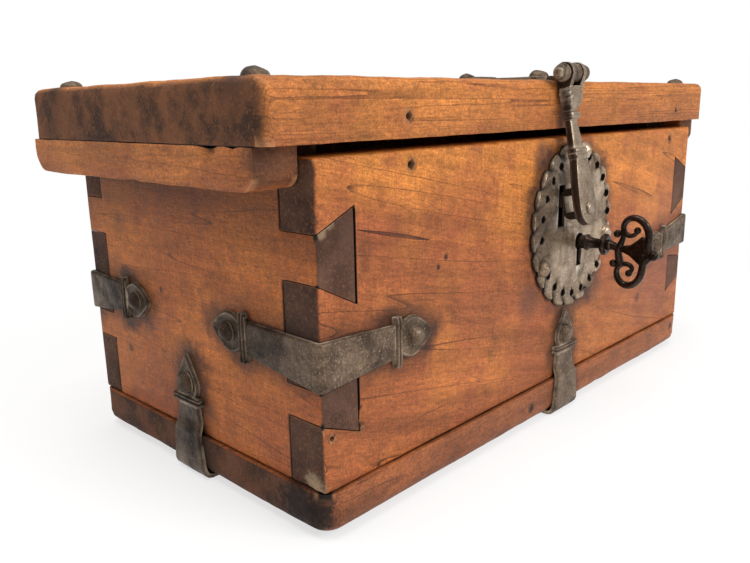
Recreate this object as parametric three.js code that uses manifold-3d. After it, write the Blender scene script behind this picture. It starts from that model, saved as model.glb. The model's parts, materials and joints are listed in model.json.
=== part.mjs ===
// Dovetailed wooden strongbox with wrought iron straps, a swinging hasp and a box lock.
// Millimetres, +Z up. The front looks along -Y and its left corner is the drawing's zero.
import * as THREE from 'three';
import { mergeVertices } from 'three/addons/utils/BufferGeometryUtils.js';
import Module from 'manifold-3d';

const wasm = await Module();
wasm.setup();

// Clearances
const seat_gap = 0.3;          // between pieces that touch on the real box
const running_gap = 0.4;       // between knuckles, and between bolt and rails
const overrun = 5;             // how far a cutter runs past the face that it cuts

// Timber
const body_length = 453;
const body_depth = 239;
const wall = 27;               // front and side boards
const back_wall = 22.5;
const front_height = 175;
const side_rise = 6;           // the sides and the back stand above the front and carry the lid
const base_thickness = 25;
const base_proud = 2.5;
const base_corner_radius = 14;
const base_edge_radius = 8;

// Dovetail pins, as shares of the front board's height: low and high at the corner, then at
// the baseline
const front_pin_shares = [[0.223, 0.326, 0.16, 0.349], [0.646, 0.789, 0.566, 0.857]];
const back_pin_shares = [[0.24, 0.343, 0.19, 0.4], [0.669, 0.806, 0.61, 0.86]];

// Lid and the battens under its ends
const lid_thickness = 31.7;
const lid_side_overhang = 28;
const lid_corner_radius = 9;
const lid_edge_radius = 6;
const batten_height = 21;
const batten_gap = 1;          // to the side boards, so that the lid closes freely
const batten_setback = 9;      // behind the front board's face
const batten_front_round = 9;
const batten_back_round = 14;
const lid_nail_front_inset = 22;
const lid_nail_back_inset = 34;

// Iron straps
const strap_thickness = 3;
const corner_root_width = 26.5;
const corner_neck_width = 19.5;
const corner_collar_width = 29;
const foot_root_width = 34;
const foot_neck_width = 20.5;
const foot_collar_width = 30;
const foot_plate_gap = 2;      // from the front strap's tip up to the lock plate
const foot_reach = 45;         // how far the strap runs under the base
const collar_length = 5;
const spade_length = 27;
const spade_width = 24.5;
const waist_width = 16;

// Nails
const nail_radius = 6.5;
const foot_nail_radius = 7.5;
const lid_nail_radius = 7.8;
const nail_dome = 4.5;
const shank_width = 4;
const shank_point_width = 1.4;
const nail_length = 18;
const lid_nail_length = 44;

// Lock plate
const plate_x_share = 0.542;   // of the body's length
const plate_z_share = 0.642;   // of the front board's height
const plate_half_width = 54.7;
const plate_half_height = 59.1;
const plate_thickness = 2.5;
const plate_scallops = 22;
const plate_notch = 3;
const punch_radius = 1.8;
const punch_inset = 8;         // the ring of holes, from the rim
const slot_width = 9;
const slot_below = 7.2;        // below the closed staple
const slot_above = 0.8;
const keyhole_radius = 6.4;
const keyhole_slot_width = 7;
const keyhole_slot_drop = 18;

// Hasp
const hasp_left = 18;          // from the plate's middle to the left
const hasp_pin_y = -5;
const hasp_pin_rise = 4.4;     // above the lid
const hasp_pin_radius = 3;
const hasp_eye_radius = 7;
const hasp_eye_width = 4;
const hasp_rest_tilt = 12.3;   // degrees, how far the hasp hangs out from upright
const hasp_shut_tilt = 5.9;    // and when its staple is home
const lid_strap_width = 19;
const lid_strap_roll_radius = 6.5;
const lid_strap_roll_width = 9;
const lid_strap_reach = 95;
const pin_ball_radius = 5.6;
const arm_length = 102;
const arm_width = 22.5;
const arm_thickness = 6;
const arm_bell_width = 15.5;
const arm_bell_depth = 6.5;
const arm_bar_width = 9.5;
const arm_bar_depth = 5;
const staple_width = 5.5;
const staple_depth = 12.1;
const staple_height = 21.5;
const staple_end_drop = 5;     // above the arm's end
const rivet_end_drop = 11;
const staple_iron = 5.2;
const staple_end_iron = 2.1;
const staple_corner = 5;
const rivet_radius = 2.4;
const rivet_head_radius = 4.6;

// Key
const key_right = 9.5;         // from the plate's middle to the right
const key_below = 13.2;        // and below it
const key_bow_drop = 1.8;      // the bow sags below the stem
const key_stem_radius = 5;
const key_neck_radius = 3.5;
const key_ring_radius = 6.2;
const key_inner_end = 13.5;
const key_bow_start = -27;
const key_bow_reach = 32;
const key_bow_half = 25;
const key_bow_iron = 2.1;
const bit_radius = 17.3;
const bit_thickness = 3.5;
const bit_front = 1.2;
const bit_back = 12.5;
const pipe_radius = 2.6;
const collar_radius = 8;
const collar_width = 4.4;
const collar_y = -22.6;

// Lock works, inside the front board
const lock_depth = 17.5;
const lock_left_room = 10.5;   // from the staple's middle
const lock_right_room = 26;    // from the key's axis
const lock_low_room = 23;
const lock_high_room = 14;     // from the bolt's upper bar
const lock_plate_thickness = 2.2;
const pillar_radius = 2.5;
const bolt_front = 0.4;
const bolt_thickness = 2.2;
const bolt_bar_height = 8;
const bolt_tip_clearance = 2;
const bolt_end_room = 2;
const bolt_upright_width = 5.4;
const talon_drop = 8;          // from the key's axis down to the lower bar
const talon_clearance = 0.35;
const talon_finger = 9.5;
const talon_web = 3;
const key_turn = 60;           // degrees that throw the bolt
const rail_thickness = 1.8;
const rail_lip = 1.8;
const rail_start = 8.5;        // from the staple's middle
const rail_end = 17;           // from the key's axis
const ward_inner = 10.2;
const ward_wall = 1.4;
const ward_reach = 4.6;
const spring_thickness = 1.2;
const spring_width = 4;
const spring_foot_share = 0.5; // of the space between the bolt's two bars
const spring_foot_size = 5;

// Rear hinges
const hinge_shares = [0.22, 0.78];
const hinge_radius = 5;
const hinge_pin_radius = 2.2;
const hinge_width = 26;
const hinge_knuckle_width = 12;
const hinge_leaf_drop = 66;
const hinge_leaf_reach = 72;
const hinge_head_radius = 3.6;
const hinge_head_height = 2;

// Facets
const round_sides = 12;
const nail_sides = 10;
const small_sides = 8;
const arc_steps = 4;
const bar_steps = 3;           // half the sides of a round bar

// Places that follow from the sizes above
const wall_low = base_thickness;
const front_top = wall_low + front_height;
const side_top = front_top + side_rise;
const lid_low = side_top + seat_gap;
const lid_top = lid_low + lid_thickness;
const hinge_y = body_depth + seat_gap + hinge_radius;
const hinge_z = lid_low - seat_gap * 2 - hinge_radius;
const lid_back = hinge_y + hinge_radius - strap_thickness - seat_gap;
const plate_x = plate_x_share * body_length;
const plate_z = wall_low + plate_z_share * front_height;
const plate_front = -plate_thickness;
const foot_top = plate_z - plate_half_height - foot_plate_gap;
const staple_bottom = arm_length - staple_end_drop;     // below the hasp pin
const staple_top = staple_bottom - staple_height;
const rivet_drop = arm_length - rivet_end_drop;
const hasp_x = plate_x - hasp_left;
const hasp_pin_z = lid_top + hasp_pin_rise;
const slot_top = hasp_pin_z - staple_top + slot_above;
const slot_bottom = hasp_pin_z - staple_bottom - slot_below;
const key_x = plate_x + key_right;
const key_z = plate_z - key_below;
const staple_middle = (staple_top + staple_bottom) / 2;
const shut = THREE.MathUtils.degToRad(hasp_shut_tilt);
// How far behind its pin the hasp meets a plane of the box when it is shut
const behind_pin = (y, drop) => (y - hasp_pin_y + drop * Math.sin(shut)) / Math.cos(shut);
const bolt_bar_z = hasp_pin_z - staple_middle * Math.cos(shut)
  - behind_pin(bolt_front + bolt_thickness / 2, staple_middle) * Math.sin(shut);
const bolt_bar_low = bolt_bar_z - bolt_bar_height / 2;
const talon_top = key_z - talon_drop;
const lock_left = hasp_x - lock_left_room;
const lock_right = key_x + lock_right_room;
const lock_low = key_z - lock_low_room;
const lock_high = bolt_bar_z + lock_high_room;
const rail_left = hasp_x + rail_start;
const rail_right = key_x + rail_end;
const lock_floor = lock_depth - seat_gap;
const lock_plate_front = lock_floor - lock_plate_thickness;
const lid_nail_inset = lid_side_overhang / 2;

// Materials, by the finish that they show
const wood = { color: 0xb4703f, roughness: 0.6, metalness: 0 };
const dark_wood = { color: 0x8f5a38, roughness: 0.7, metalness: 0 };
const iron = { color: 0x5f5a54, roughness: 0.5, metalness: 0.7 };
const plate_iron = { color: 0x968c82, roughness: 0.45, metalness: 0.7 };
const black_iron = { color: 0x231d1b, roughness: 0.4, metalness: 0.7 };

// A closed mesh becomes a solid once the vertices that its triangles share are merged
function solid(geometry) {
  const bare = geometry.clone();
  bare.deleteAttribute('normal');
  bare.deleteAttribute('uv');
  const merged = mergeVertices(bare);
  const triangles = [];
  for (let i = 0; i < merged.index.count; i += 3) {
    const [a, b, c] = [0, 1, 2].map((k) => merged.index.getX(i + k));
    if (a !== b && b !== c && c !== a) triangles.push(a, b, c);
  }
  const build = (corners) => new wasm.Manifold(new wasm.Mesh({
    numProp: 3,
    vertProperties: new Float32Array(merged.attributes.position.array),
    triVerts: new Uint32Array(corners),
  }));
  const made = build(triangles);
  return made.volume() > 0 ? made : build(triangles.slice().reverse());
}

function join(first, ...others) {
  return others.reduce((sum, other) => sum.add(other), first);
}

function cut(first, ...others) {
  return others.reduce((rest, other) => rest.subtract(other), first);
}

// A block between two opposite corners
function block([x0, y0, z0], [x1, y1, z1]) {
  const geometry = new THREE.BoxGeometry(x1 - x0, y1 - y0, z1 - z0);
  geometry.translate((x0 + x1) / 2, (y0 + y1) / 2, (z0 + z1) / 2);
  return solid(geometry);
}

// An outline pushed along an axis: XZ outlines along Y, YZ outlines along X, XY outlines up Z
const outline_bases = {
  y: [[1, 0, 0], [0, 0, 1], [0, 1, 0]],
  x: [[0, 1, 0], [0, 0, 1], [1, 0, 0]],
  z: [[1, 0, 0], [0, 1, 0], [0, 0, 1]],
};

function prism(outline, axis, from, to) {
  const shape = outline instanceof THREE.Shape
    ? outline : new THREE.Shape(outline.map(([u, v]) => new THREE.Vector2(u, v)));
  const geometry = new THREE.ExtrudeGeometry(shape, {
    depth: to - from, bevelEnabled: false, curveSegments: arc_steps,
  });
  geometry.translate(0, 0, from);
  const columns = outline_bases[axis].map((column) => new THREE.Vector3(...column));
  geometry.applyMatrix4(new THREE.Matrix4().makeBasis(...columns));
  return solid(geometry);
}

// A profile of [radius, height] turned round an axis that points along the direction
function turned(profile, at, direction, sides = round_sides) {
  const points = profile.map(([r, h]) => new THREE.Vector2(r, h));
  const geometry = new THREE.LatheGeometry(points, sides);
  const turn = new THREE.Quaternion().setFromUnitVectors(
    new THREE.Vector3(0, 1, 0), direction);
  geometry.applyQuaternion(turn);
  geometry.translate(at.x, at.y, at.z);
  return solid(geometry);
}

function rod(radius, at, direction, length, sides = round_sides) {
  return turned([[0, 0], [radius, 0], [radius, length], [0, length]], at, direction, sides);
}

// A round bar along a curve through the points
function swept(points, radius, steps) {
  const section = new THREE.Shape();
  section.absarc(0, 0, radius, 0, Math.PI * 2);
  const path = new THREE.CatmullRomCurve3(points);
  return solid(new THREE.ExtrudeGeometry(section, {
    steps, extrudePath: path, curveSegments: bar_steps,
  }));
}

// A forged bar from sections that follow one another downwards: height, width, depth, the
// section's middle in depth, and the chamfer of its corners
function forged(sections) {
  const ring = ([z, width, depth, y, chamfer]) => {
    const [w, d] = [width / 2, depth / 2];
    const outline = [[w - chamfer, -d], [w, -d + chamfer], [w, d - chamfer], [w - chamfer, d],
      [-w + chamfer, d], [-w, d - chamfer], [-w, -d + chamfer], [-w + chamfer, -d]];
    return outline.map(([px, py]) => [px, py + y, z]);
  };
  const rings = sections.map(ring);
  const count = rings[0].length;
  const corners = rings.flat(2);
  const triangles = [];
  for (let r = 0; r + 1 < rings.length; r += 1) {
    for (let k = 0; k < count; k += 1) {
      const [a, b] = [r * count + k, r * count + (k + 1) % count];
      triangles.push(a, a + count, b, b, a + count, b + count);
    }
  }
  const last = (rings.length - 1) * count;
  for (let k = 1; k + 1 < count; k += 1) {
    triangles.push(0, k, k + 1, last, last + k + 1, last + k);
  }
  const geometry = new THREE.BufferGeometry();
  geometry.setAttribute('position', new THREE.Float32BufferAttribute(corners, 3));
  geometry.setIndex(triangles);
  return solid(geometry);
}

function piece(name, made, look) {
  const { vertProperties, triVerts } = made.getMesh();
  const geometry = new THREE.BufferGeometry();
  geometry.setAttribute('position', new THREE.BufferAttribute(vertProperties, 3));
  geometry.setIndex(new THREE.BufferAttribute(triVerts, 1));
  geometry.computeVertexNormals();
  const mesh = new THREE.Mesh(geometry, new THREE.MeshStandardMaterial(look));
  mesh.name = name;
  return mesh;
}

const directions = {
  left: new THREE.Vector3(-1, 0, 0),
  right: new THREE.Vector3(1, 0, 0),
  front: new THREE.Vector3(0, -1, 0),
  back: new THREE.Vector3(0, 1, 0),
  up: new THREE.Vector3(0, 0, 1),
  down: new THREE.Vector3(0, 0, -1),
};

// Corner straps: the corner, the height there as a share of the front board, how far each leg
// runs and how far it rises on the way
const corner_straps = {
  front_left_corner_strap: {
    x: 0, y: 0, share: 0.406, along_x: 85, along_y: 90, rise_x: 1, rise_y: 6,
  },
  front_right_corner_strap: {
    x: body_length, y: 0, share: 0.474, along_x: -76, along_y: 82, rise_x: -10, rise_y: -6,
  },
  back_left_corner_strap: {
    x: 0, y: body_depth, share: 0.426, along_x: 82, along_y: -76, rise_x: 1, rise_y: 2,
  },
  back_right_corner_strap: {
    x: body_length, y: body_depth, share: 0.434, along_x: -80, along_y: -78, rise_x: 2, rise_y: -2,
  },
};

const strap_height = (share) => wall_low + share * front_height;

// Foot straps run up near the middle of each side and turn under the base
const foot_straps = {
  front_foot_strap: { out: directions.front, face: 0, across: 0.53 * body_length },
  back_foot_strap: { out: directions.back, face: body_depth, across: 0.503 * body_length },
  left_foot_strap: { out: directions.left, face: 0, across: 0.515 * body_depth },
  right_foot_strap: { out: directions.right, face: body_length, across: 0.498 * body_depth },
};

// Every nail, by name: the seat of its head, the way out of the seat and its sizes
const nails = {};

function add_nail(name, at, out, radius = nail_radius, length = nail_length) {
  nails[name] = { at, out, radius, length };
}

const strap_nail_share = 0.45;     // of the spade, from the collar

for (const [name, s] of Object.entries(corner_straps)) {
  const out_x = s.x === 0 ? directions.left : directions.right;
  const out_y = s.y === 0 ? directions.front : directions.back;
  const place = (along) => Math.abs(along) - spade_length * (1 - strap_nail_share);
  const share_x = place(s.along_x) / Math.abs(s.along_x);
  const share_y = place(s.along_y) / Math.abs(s.along_y);
  const z = strap_height(s.share);
  const on_x = new THREE.Vector3(s.x + s.along_x * share_x, s.y, z + s.rise_x * share_x);
  const on_y = new THREE.Vector3(s.x, s.y + s.along_y * share_y, z + s.rise_y * share_y);
  add_nail(`${name}_nail_a`, on_x.addScaledVector(out_y, strap_thickness), out_y);
  add_nail(`${name}_nail_b`, on_y.addScaledVector(out_x, strap_thickness), out_x);
}

const foot_nail_drop = 18.3;         // below the strap's tip

for (const [name, s] of Object.entries(foot_straps)) {
  const side = Math.abs(s.out.x) > 0;
  const z = foot_top - foot_nail_drop;
  const at = side ? new THREE.Vector3(s.face, s.across, z) : new THREE.Vector3(s.across, s.face, z);
  add_nail(`${name}_nail`, at.addScaledVector(s.out, strap_thickness), s.out, foot_nail_radius);
}

for (const [side, x] of [['left', -lid_nail_inset], ['right', body_length + lid_nail_inset]]) {
  for (const [end, y] of [['front', lid_nail_front_inset],
    ['back', lid_back - lid_nail_back_inset]]) {
    const at = new THREE.Vector3(x, y, lid_top);
    add_nail(`lid_nail_${end}_${side}`, at, directions.up, lid_nail_radius, lid_nail_length);
  }
}

const lid_strap_nails = [lid_nail_front_inset - nail_dome / 2, lid_strap_reach * 0.85];

lid_strap_nails.forEach((y, i) => {
  const at = new THREE.Vector3(hasp_x, y, lid_top + strap_thickness);
  add_nail(`lid_strap_nail_${i + 1}`, at, directions.up, foot_nail_radius);
});

// From the plate's middle, as shares of half its width and height
const plate_nail_shares = [[-0.722, -0.434], [0.21, 0.881], [0.896, -0.2]];

plate_nail_shares.forEach(([across, up], i) => {
  const at = new THREE.Vector3(plate_x + across * plate_half_width, plate_front,
    plate_z + up * plate_half_height);
  add_nail(`lock_plate_nail_${i + 1}`, at, directions.front);
});

const hinge_nail_inset = 15;       // from a leaf's tip
const hinge_places = hinge_shares.map((share) => share * body_length);

hinge_places.forEach((x, i) => {
  const low = new THREE.Vector3(x, body_depth + seat_gap + strap_thickness,
    hinge_z - hinge_leaf_drop + hinge_nail_inset);
  const high = new THREE.Vector3(x, lid_back - hinge_leaf_reach + hinge_nail_inset,
    lid_top + strap_thickness);
  add_nail(`hinge_box_leaf_nail_${i + 1}`, low, directions.back);
  add_nail(`hinge_lid_leaf_nail_${i + 1}`, high, directions.up);
});

function square_shank({ at, out, length }, grow, above) {
  const corner = Math.SQRT2 / 2;
  const [wide, narrow] = [shank_width + grow * 2, shank_point_width + grow * 2]
    .map((width) => width * corner);
  const whole = length + grow + above;
  const geometry = new THREE.CylinderGeometry(wide, narrow, whole, 4);
  geometry.rotateY(Math.PI / 4);
  geometry.translate(0, above - whole / 2, 0);
  const turn = new THREE.Quaternion().setFromUnitVectors(new THREE.Vector3(0, 1, 0), out);
  geometry.applyQuaternion(turn);
  geometry.translate(at.x, at.y, at.z);
  return solid(geometry);
}

// A hammered dome on a square tapered shank
const dome_shares = [[1, 0], [0.93, 0.36], [0.66, 0.8], [0, 1]];

function nail(spec) {
  const dome = dome_shares.map(([r, h]) => [r * spec.radius, h * nail_dome + seat_gap]);
  const head = turned([[0, seat_gap], ...dome], spec.at, spec.out, nail_sides);
  return join(head, square_shank(spec, 0, nail_dome / 2));
}

// The nails' holes, cut in whatever they pass through
const holes = Object.values(nails).map((spec) => square_shank(spec, seat_gap, nail_dome));

function drilled(made) {
  const box = made.boundingBox();
  const near = holes.filter((hole) => {
    const other = hole.boundingBox();
    return [0, 1, 2].every((k) => box.min[k] < other.max[k] && other.min[k] < box.max[k]);
  });
  return cut(made, ...near);
}

// A dovetail pin's section, seen from the front. Sockets are cut a gap larger
function pin_section(shares, right, depth, grow) {
  const [low_corner, high_corner, low_base, high_base] = shares
    .map((share) => wall_low + share * front_height);
  const slope_low = (low_base - low_corner) / depth;
  const slope_high = (high_base - high_corner) / depth;
  const at = (u, slope, z, side) => [right ? body_length - u : u, z + slope * u + side * grow];
  const start = grow > 0 ? -overrun : 0;
  const end = depth + grow;
  return [at(start, slope_low, low_corner, -1), at(end, slope_low, low_corner, -1),
    at(end, slope_high, high_corner, 1), at(start, slope_high, high_corner, 1)];
}

function end_board(y0, y1, top, shares) {
  const board = block([0, y0, wall_low], [body_length, y1, top]);
  const sockets = shares.flatMap((share) => [false, true].map((right) => prism(
    pin_section(share, right, wall, seat_gap), 'y', y0 - overrun, y1 + overrun)));
  return cut(board, ...sockets);
}

function front_board() {
  const board = end_board(0, wall, front_top, front_pin_shares);
  const mortise = block([lock_left, -overrun, lock_low], [lock_right, lock_depth, lock_high]);
  return drilled(cut(board, mortise));
}

function back_board() {
  return drilled(end_board(body_depth - back_wall, body_depth, side_top, back_pin_shares));
}

function side_board(right) {
  const [x0, x1] = right ? [body_length - wall, body_length] : [0, wall];
  const [y0, y1] = [wall + seat_gap, body_depth - back_wall - seat_gap];
  const panel = block([x0, y0, wall_low], [x1, y1, side_top]);
  const front_pins = front_pin_shares.map((share) => prism(
    pin_section(share, right, wall, 0), 'y', 0, y0 + wall / 2));
  const back_pins = back_pin_shares.map((share) => prism(
    pin_section(share, right, wall, 0), 'y', y1 - wall / 2, body_depth));
  return drilled(join(panel, ...front_pins, ...back_pins));
}

function rounded_rectangle(x0, y0, x1, y1, radius) {
  const shape = new THREE.Shape();
  shape.absarc(x1 - radius, y0 + radius, radius, -Math.PI / 2, 0);
  shape.absarc(x1 - radius, y1 - radius, radius, 0, Math.PI / 2);
  shape.absarc(x0 + radius, y1 - radius, radius, Math.PI / 2, Math.PI);
  shape.absarc(x0 + radius, y0 + radius, radius, Math.PI, Math.PI * 1.5);
  shape.closePath();
  return shape;
}

// A board with rounded corners and a rounded edge all round its lower or upper face
function rounded_board(shape, low, high, radius, round_top) {
  const geometry = new THREE.ExtrudeGeometry(shape, {
    depth: high - low - radius, bevelThickness: radius, bevelSize: radius,
    bevelOffset: -radius, bevelSegments: 3, curveSegments: arc_steps,
  });
  geometry.translate(0, 0, round_top ? low : low + radius);
  const rounded = solid(geometry);
  const bounds = rounded.boundingBox();
  const [x0, y0] = bounds.min;
  const [x1, y1] = bounds.max;
  const spare = round_top
    ? block([x0 - overrun, y0 - overrun, low - radius * 2], [x1 + overrun, y1 + overrun, low])
    : block([x0 - overrun, y0 - overrun, high], [x1 + overrun, y1 + overrun, high + radius * 2]);
  return cut(rounded, spare);
}

function base_board() {
  const shape = rounded_rectangle(-base_proud, -base_proud, body_length + base_proud,
    body_depth + base_proud, base_corner_radius);
  return drilled(rounded_board(shape, 0, base_thickness, base_edge_radius, false));
}

function lid_board() {
  const shape = rounded_rectangle(-lid_side_overhang, 0, body_length + lid_side_overhang,
    lid_back, lid_corner_radius);
  return drilled(rounded_board(shape, lid_low, lid_top, lid_edge_radius, true));
}

function batten(right) {
  const [x0, x1] = right
    ? [body_length + batten_gap, body_length + lid_side_overhang]
    : [-lid_side_overhang, -batten_gap];
  const low = lid_low - batten_height;
  const back = lid_back - seat_gap * 2;
  const shape = new THREE.Shape();
  shape.moveTo(batten_setback, lid_low);
  shape.lineTo(batten_setback, low + batten_front_round);
  shape.absarc(batten_setback + batten_front_round, low + batten_front_round,
    batten_front_round, Math.PI, Math.PI * 1.5);
  shape.absarc(back - batten_back_round, low + batten_back_round, batten_back_round,
    -Math.PI / 2, 0);
  shape.lineTo(back, lid_low);
  shape.closePath();
  return drilled(prism(shape, 'x', x0, x1));
}

// A strap's outline along u: root, neck, cross collar and a pointed spade
const spade_bulge_share = 0.2;
const spade_shoulder_share = 0.72;
const spade_point_share = 0.12;
const spade_bulge_pull = 1.3;

function spade_outline(start, tip, root, neck, collar, rise = 0) {
  const collar_end = tip - spade_length;
  const collar_start = collar_end - collar_length;
  const bulge = collar_end + spade_length * spade_bulge_share;
  const shoulder = collar_end + spade_length * spade_shoulder_share;
  const point = spade_width * spade_point_share;
  const at = (u, width, side) => [u, side * width / 2 + rise * Math.max(0, u) / tip];
  const bulge_width = spade_width * spade_bulge_pull;
  const shape = new THREE.Shape();
  shape.moveTo(...at(start, root, -1));
  if (start < 0) shape.lineTo(...at(0, root, -1));
  shape.lineTo(...at(collar_start, neck, -1));
  shape.lineTo(...at(collar_start, collar, -1));
  shape.lineTo(...at(collar_end, collar, -1));
  shape.lineTo(...at(collar_end, waist_width, -1));
  shape.quadraticCurveTo(...at(bulge, bulge_width, -1), ...at(shoulder, waist_width, -1));
  shape.lineTo(...at(tip, point, -1));
  shape.lineTo(...at(tip, point, 1));
  shape.lineTo(...at(shoulder, waist_width, 1));
  shape.quadraticCurveTo(...at(bulge, bulge_width, 1), ...at(collar_end, waist_width, 1));
  shape.lineTo(...at(collar_end, collar, 1));
  shape.lineTo(...at(collar_start, collar, 1));
  shape.lineTo(...at(collar_start, neck, 1));
  if (start < 0) shape.lineTo(...at(0, root, 1));
  shape.lineTo(...at(start, root, 1));
  return shape;
}

// A strap's outline laid on a face: u runs along the leg and out points off the face
function leg(shape, origin, along, out, from, to) {
  const geometry = new THREE.ExtrudeGeometry(shape, {
    depth: to - from, bevelEnabled: false, curveSegments: arc_steps,
  });
  geometry.translate(0, 0, from);
  const across = new THREE.Vector3().crossVectors(out, along);
  const basis = new THREE.Matrix4().makeBasis(along, across, out);
  geometry.applyMatrix4(basis.setPosition(origin));
  return solid(geometry);
}

function corner_strap(s) {
  const out_x = s.x === 0 ? directions.left : directions.right;
  const out_y = s.y === 0 ? directions.front : directions.back;
  const [reach_x, reach_y] = [Math.abs(s.along_x), Math.abs(s.along_y)];
  const corner = new THREE.Vector3(s.x, s.y, strap_height(s.share));
  const on_face = (reach, rise, along, out) => {
    const across_up = new THREE.Vector3().crossVectors(out, along).z;
    const outline = spade_outline(-strap_thickness, reach, corner_root_width,
      corner_neck_width, corner_collar_width, rise * across_up);
    return leg(outline, corner, along, out, 0, strap_thickness);
  };
  const on_x = on_face(reach_x, s.rise_x, out_x.clone().negate(), out_y);
  const on_y = on_face(reach_y, s.rise_y, out_y.clone().negate(), out_x);
  return drilled(join(on_x, on_y));
}

// The foot strap's side view, from under the base to its tip: [out from the wall, height]
function foot_profile() {
  const t = strap_thickness;
  const out = base_proud + seat_gap;
  const bend = base_edge_radius / 2;
  const step_low = base_thickness + seat_gap * 4;
  const step_high = step_low + strap_thickness * 2;
  const inner = [[-foot_reach, 0], [out - bend, 0], [out, bend], [out, step_low],
    [0, step_high], [0, foot_top]];
  const outer = [[t, foot_top], [t, step_high + t / 3], [out + t, step_low + t / 3],
    [out + t, bend - t / 3], [out - bend + t / 3, -t], [-foot_reach, -t]];
  return [...inner, ...outer];
}

function foot_strap({ out, face, across }) {
  const widest = foot_root_width + overrun * 2;
  const side = Math.abs(out.x) > 0;
  const sign = side ? out.x : out.y;
  const wide = prism(foot_profile().map(([u, z]) => [face + sign * u, z]), side ? 'y' : 'x',
    across - widest / 2, across + widest / 2);
  const tip = foot_top + overrun;
  const shape = spade_outline(-strap_thickness - overrun, foot_top, foot_root_width,
    foot_neck_width, foot_collar_width);
  const origin = side ? new THREE.Vector3(face, across, 0) : new THREE.Vector3(across, face, 0);
  const front = leg(shape, origin, directions.up, out, -foot_reach - overrun, tip);
  return drilled(wide.intersect(front));
}

function lock_plate() {
  const shape = new THREE.Shape();
  const lobe_shares = [[0.1, 0], [0.5, 0], [0.72, 0.25], [0.86, 1]];
  const at = (turn, inset) => new THREE.Vector2(
    plate_x + (plate_half_width - inset) * Math.cos(turn),
    plate_z + (plate_half_height - inset) * Math.sin(turn));
  const pitch = Math.PI * 2 / plate_scallops;
  const rim = [];
  for (let i = 0; i < plate_scallops; i += 1) {
    for (const [turn, depth] of lobe_shares) {
      rim.push(at((i + turn) * pitch, depth * plate_notch));
    }
  }
  shape.setFromPoints(rim);
  const plate_nails = plate_nail_shares.map((_, i) => nails[`lock_plate_nail_${i + 1}`]);
  for (let i = 0; i < plate_scallops; i += 1) {
    const centre = at((i + 0.35) * pitch, punch_inset);
    const clear = plate_nails.every(({ at: seat, radius }) => (
      Math.hypot(seat.x - centre.x, seat.z - centre.y) > radius));
    if (!clear) continue;
    const hole = new THREE.Path();
    hole.absarc(centre.x, centre.y, punch_radius, 0, Math.PI * 2);
    shape.holes.push(hole);
  }
  const plate = prism(shape, 'y', plate_front, 0);
  const slot = block([hasp_x - slot_width / 2, plate_front - overrun, slot_bottom],
    [hasp_x + slot_width / 2, overrun, slot_top]);
  const keyhole = rod(keyhole_radius, new THREE.Vector3(key_x, overrun, key_z),
    directions.front, plate_thickness + overrun * 2, round_sides);
  const bit_slot = block(
    [key_x - keyhole_slot_width / 2, plate_front - overrun, key_z - keyhole_slot_drop],
    [key_x + keyhole_slot_width / 2, overrun, key_z]);
  return drilled(cut(plate, slot, keyhole, bit_slot));
}

// Half the width over the hasp's two eyes
const hasp_half = lid_strap_roll_width / 2 + running_gap + hasp_eye_width;

// The strap on the lid: flat along the lid, then rolled under and round the hasp's pin
function lid_strap() {
  const under = lid_top;
  const over = under + strap_thickness;
  const roll_low = hasp_pin_z - lid_strap_roll_radius;
  const bend = lid_edge_radius;
  const side = [[lid_strap_reach + overrun, under], [bend, under], [hasp_pin_y, roll_low],
    [hasp_pin_y, roll_low + strap_thickness], [bend, over], [lid_strap_reach + overrun, over]];
  const strip = prism(side, 'x', hasp_x - lid_strap_width, hasp_x + lid_strap_width);
  const shape = spade_outline(0, lid_strap_reach - hasp_pin_y, lid_strap_roll_width,
    lid_strap_width, foot_collar_width);
  const origin = new THREE.Vector3(hasp_x, hasp_pin_y, 0);
  const outline = leg(shape, origin, directions.back, directions.up, roll_low - overrun,
    over + overrun);
  const roll_at = new THREE.Vector3(hasp_x - lid_strap_roll_width / 2, hasp_pin_y, hasp_pin_z);
  const roll = rod(lid_strap_roll_radius, roll_at, directions.right, lid_strap_roll_width);
  const bore_at = new THREE.Vector3(hasp_x - lid_strap_width, hasp_pin_y, hasp_pin_z);
  const bore = rod(hasp_pin_radius + seat_gap, bore_at, directions.right, lid_strap_width * 2);
  const eye_space = [-hasp_half - running_gap, lid_strap_roll_width / 2].map((x) => rod(
    hasp_eye_radius + running_gap, new THREE.Vector3(hasp_x + x, hasp_pin_y, hasp_pin_z),
    directions.right, hasp_eye_width + running_gap * 2));
  return drilled(cut(join(strip.intersect(outline), roll), bore, ...eye_space));
}

// A headed pin with a ball and a small square end on each side
function hasp_pin() {
  const start = hasp_half + running_gap;
  const ball = pin_ball_radius;
  const tip = [[ball * 0.6, 0], [ball * 0.95, ball * 0.3], [ball, ball * 0.75],
    [ball * 0.78, ball * 1.3], [ball * 0.45, ball * 1.5], [ball * 0.4, ball * 1.9],
    [0, ball * 1.9]];
  const right = tip.map(([r, h]) => [r, start + h]);
  const left = tip.map(([r, h]) => [r, -start - h]).reverse();
  const profile = [...left, [hasp_pin_radius, -start], [hasp_pin_radius, start], ...right];
  const at = new THREE.Vector3(hasp_x, hasp_pin_y, hasp_pin_z);
  return turned(profile, at, directions.right);
}

// The hasp is drawn hanging straight down from its pin at zero. When it is shut, the back of
// its flat part meets the top of the lock plate
const plate_drop = hasp_pin_z - plate_z - plate_half_height;
const hasp_back = behind_pin(plate_front - seat_gap, plate_drop);

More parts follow.
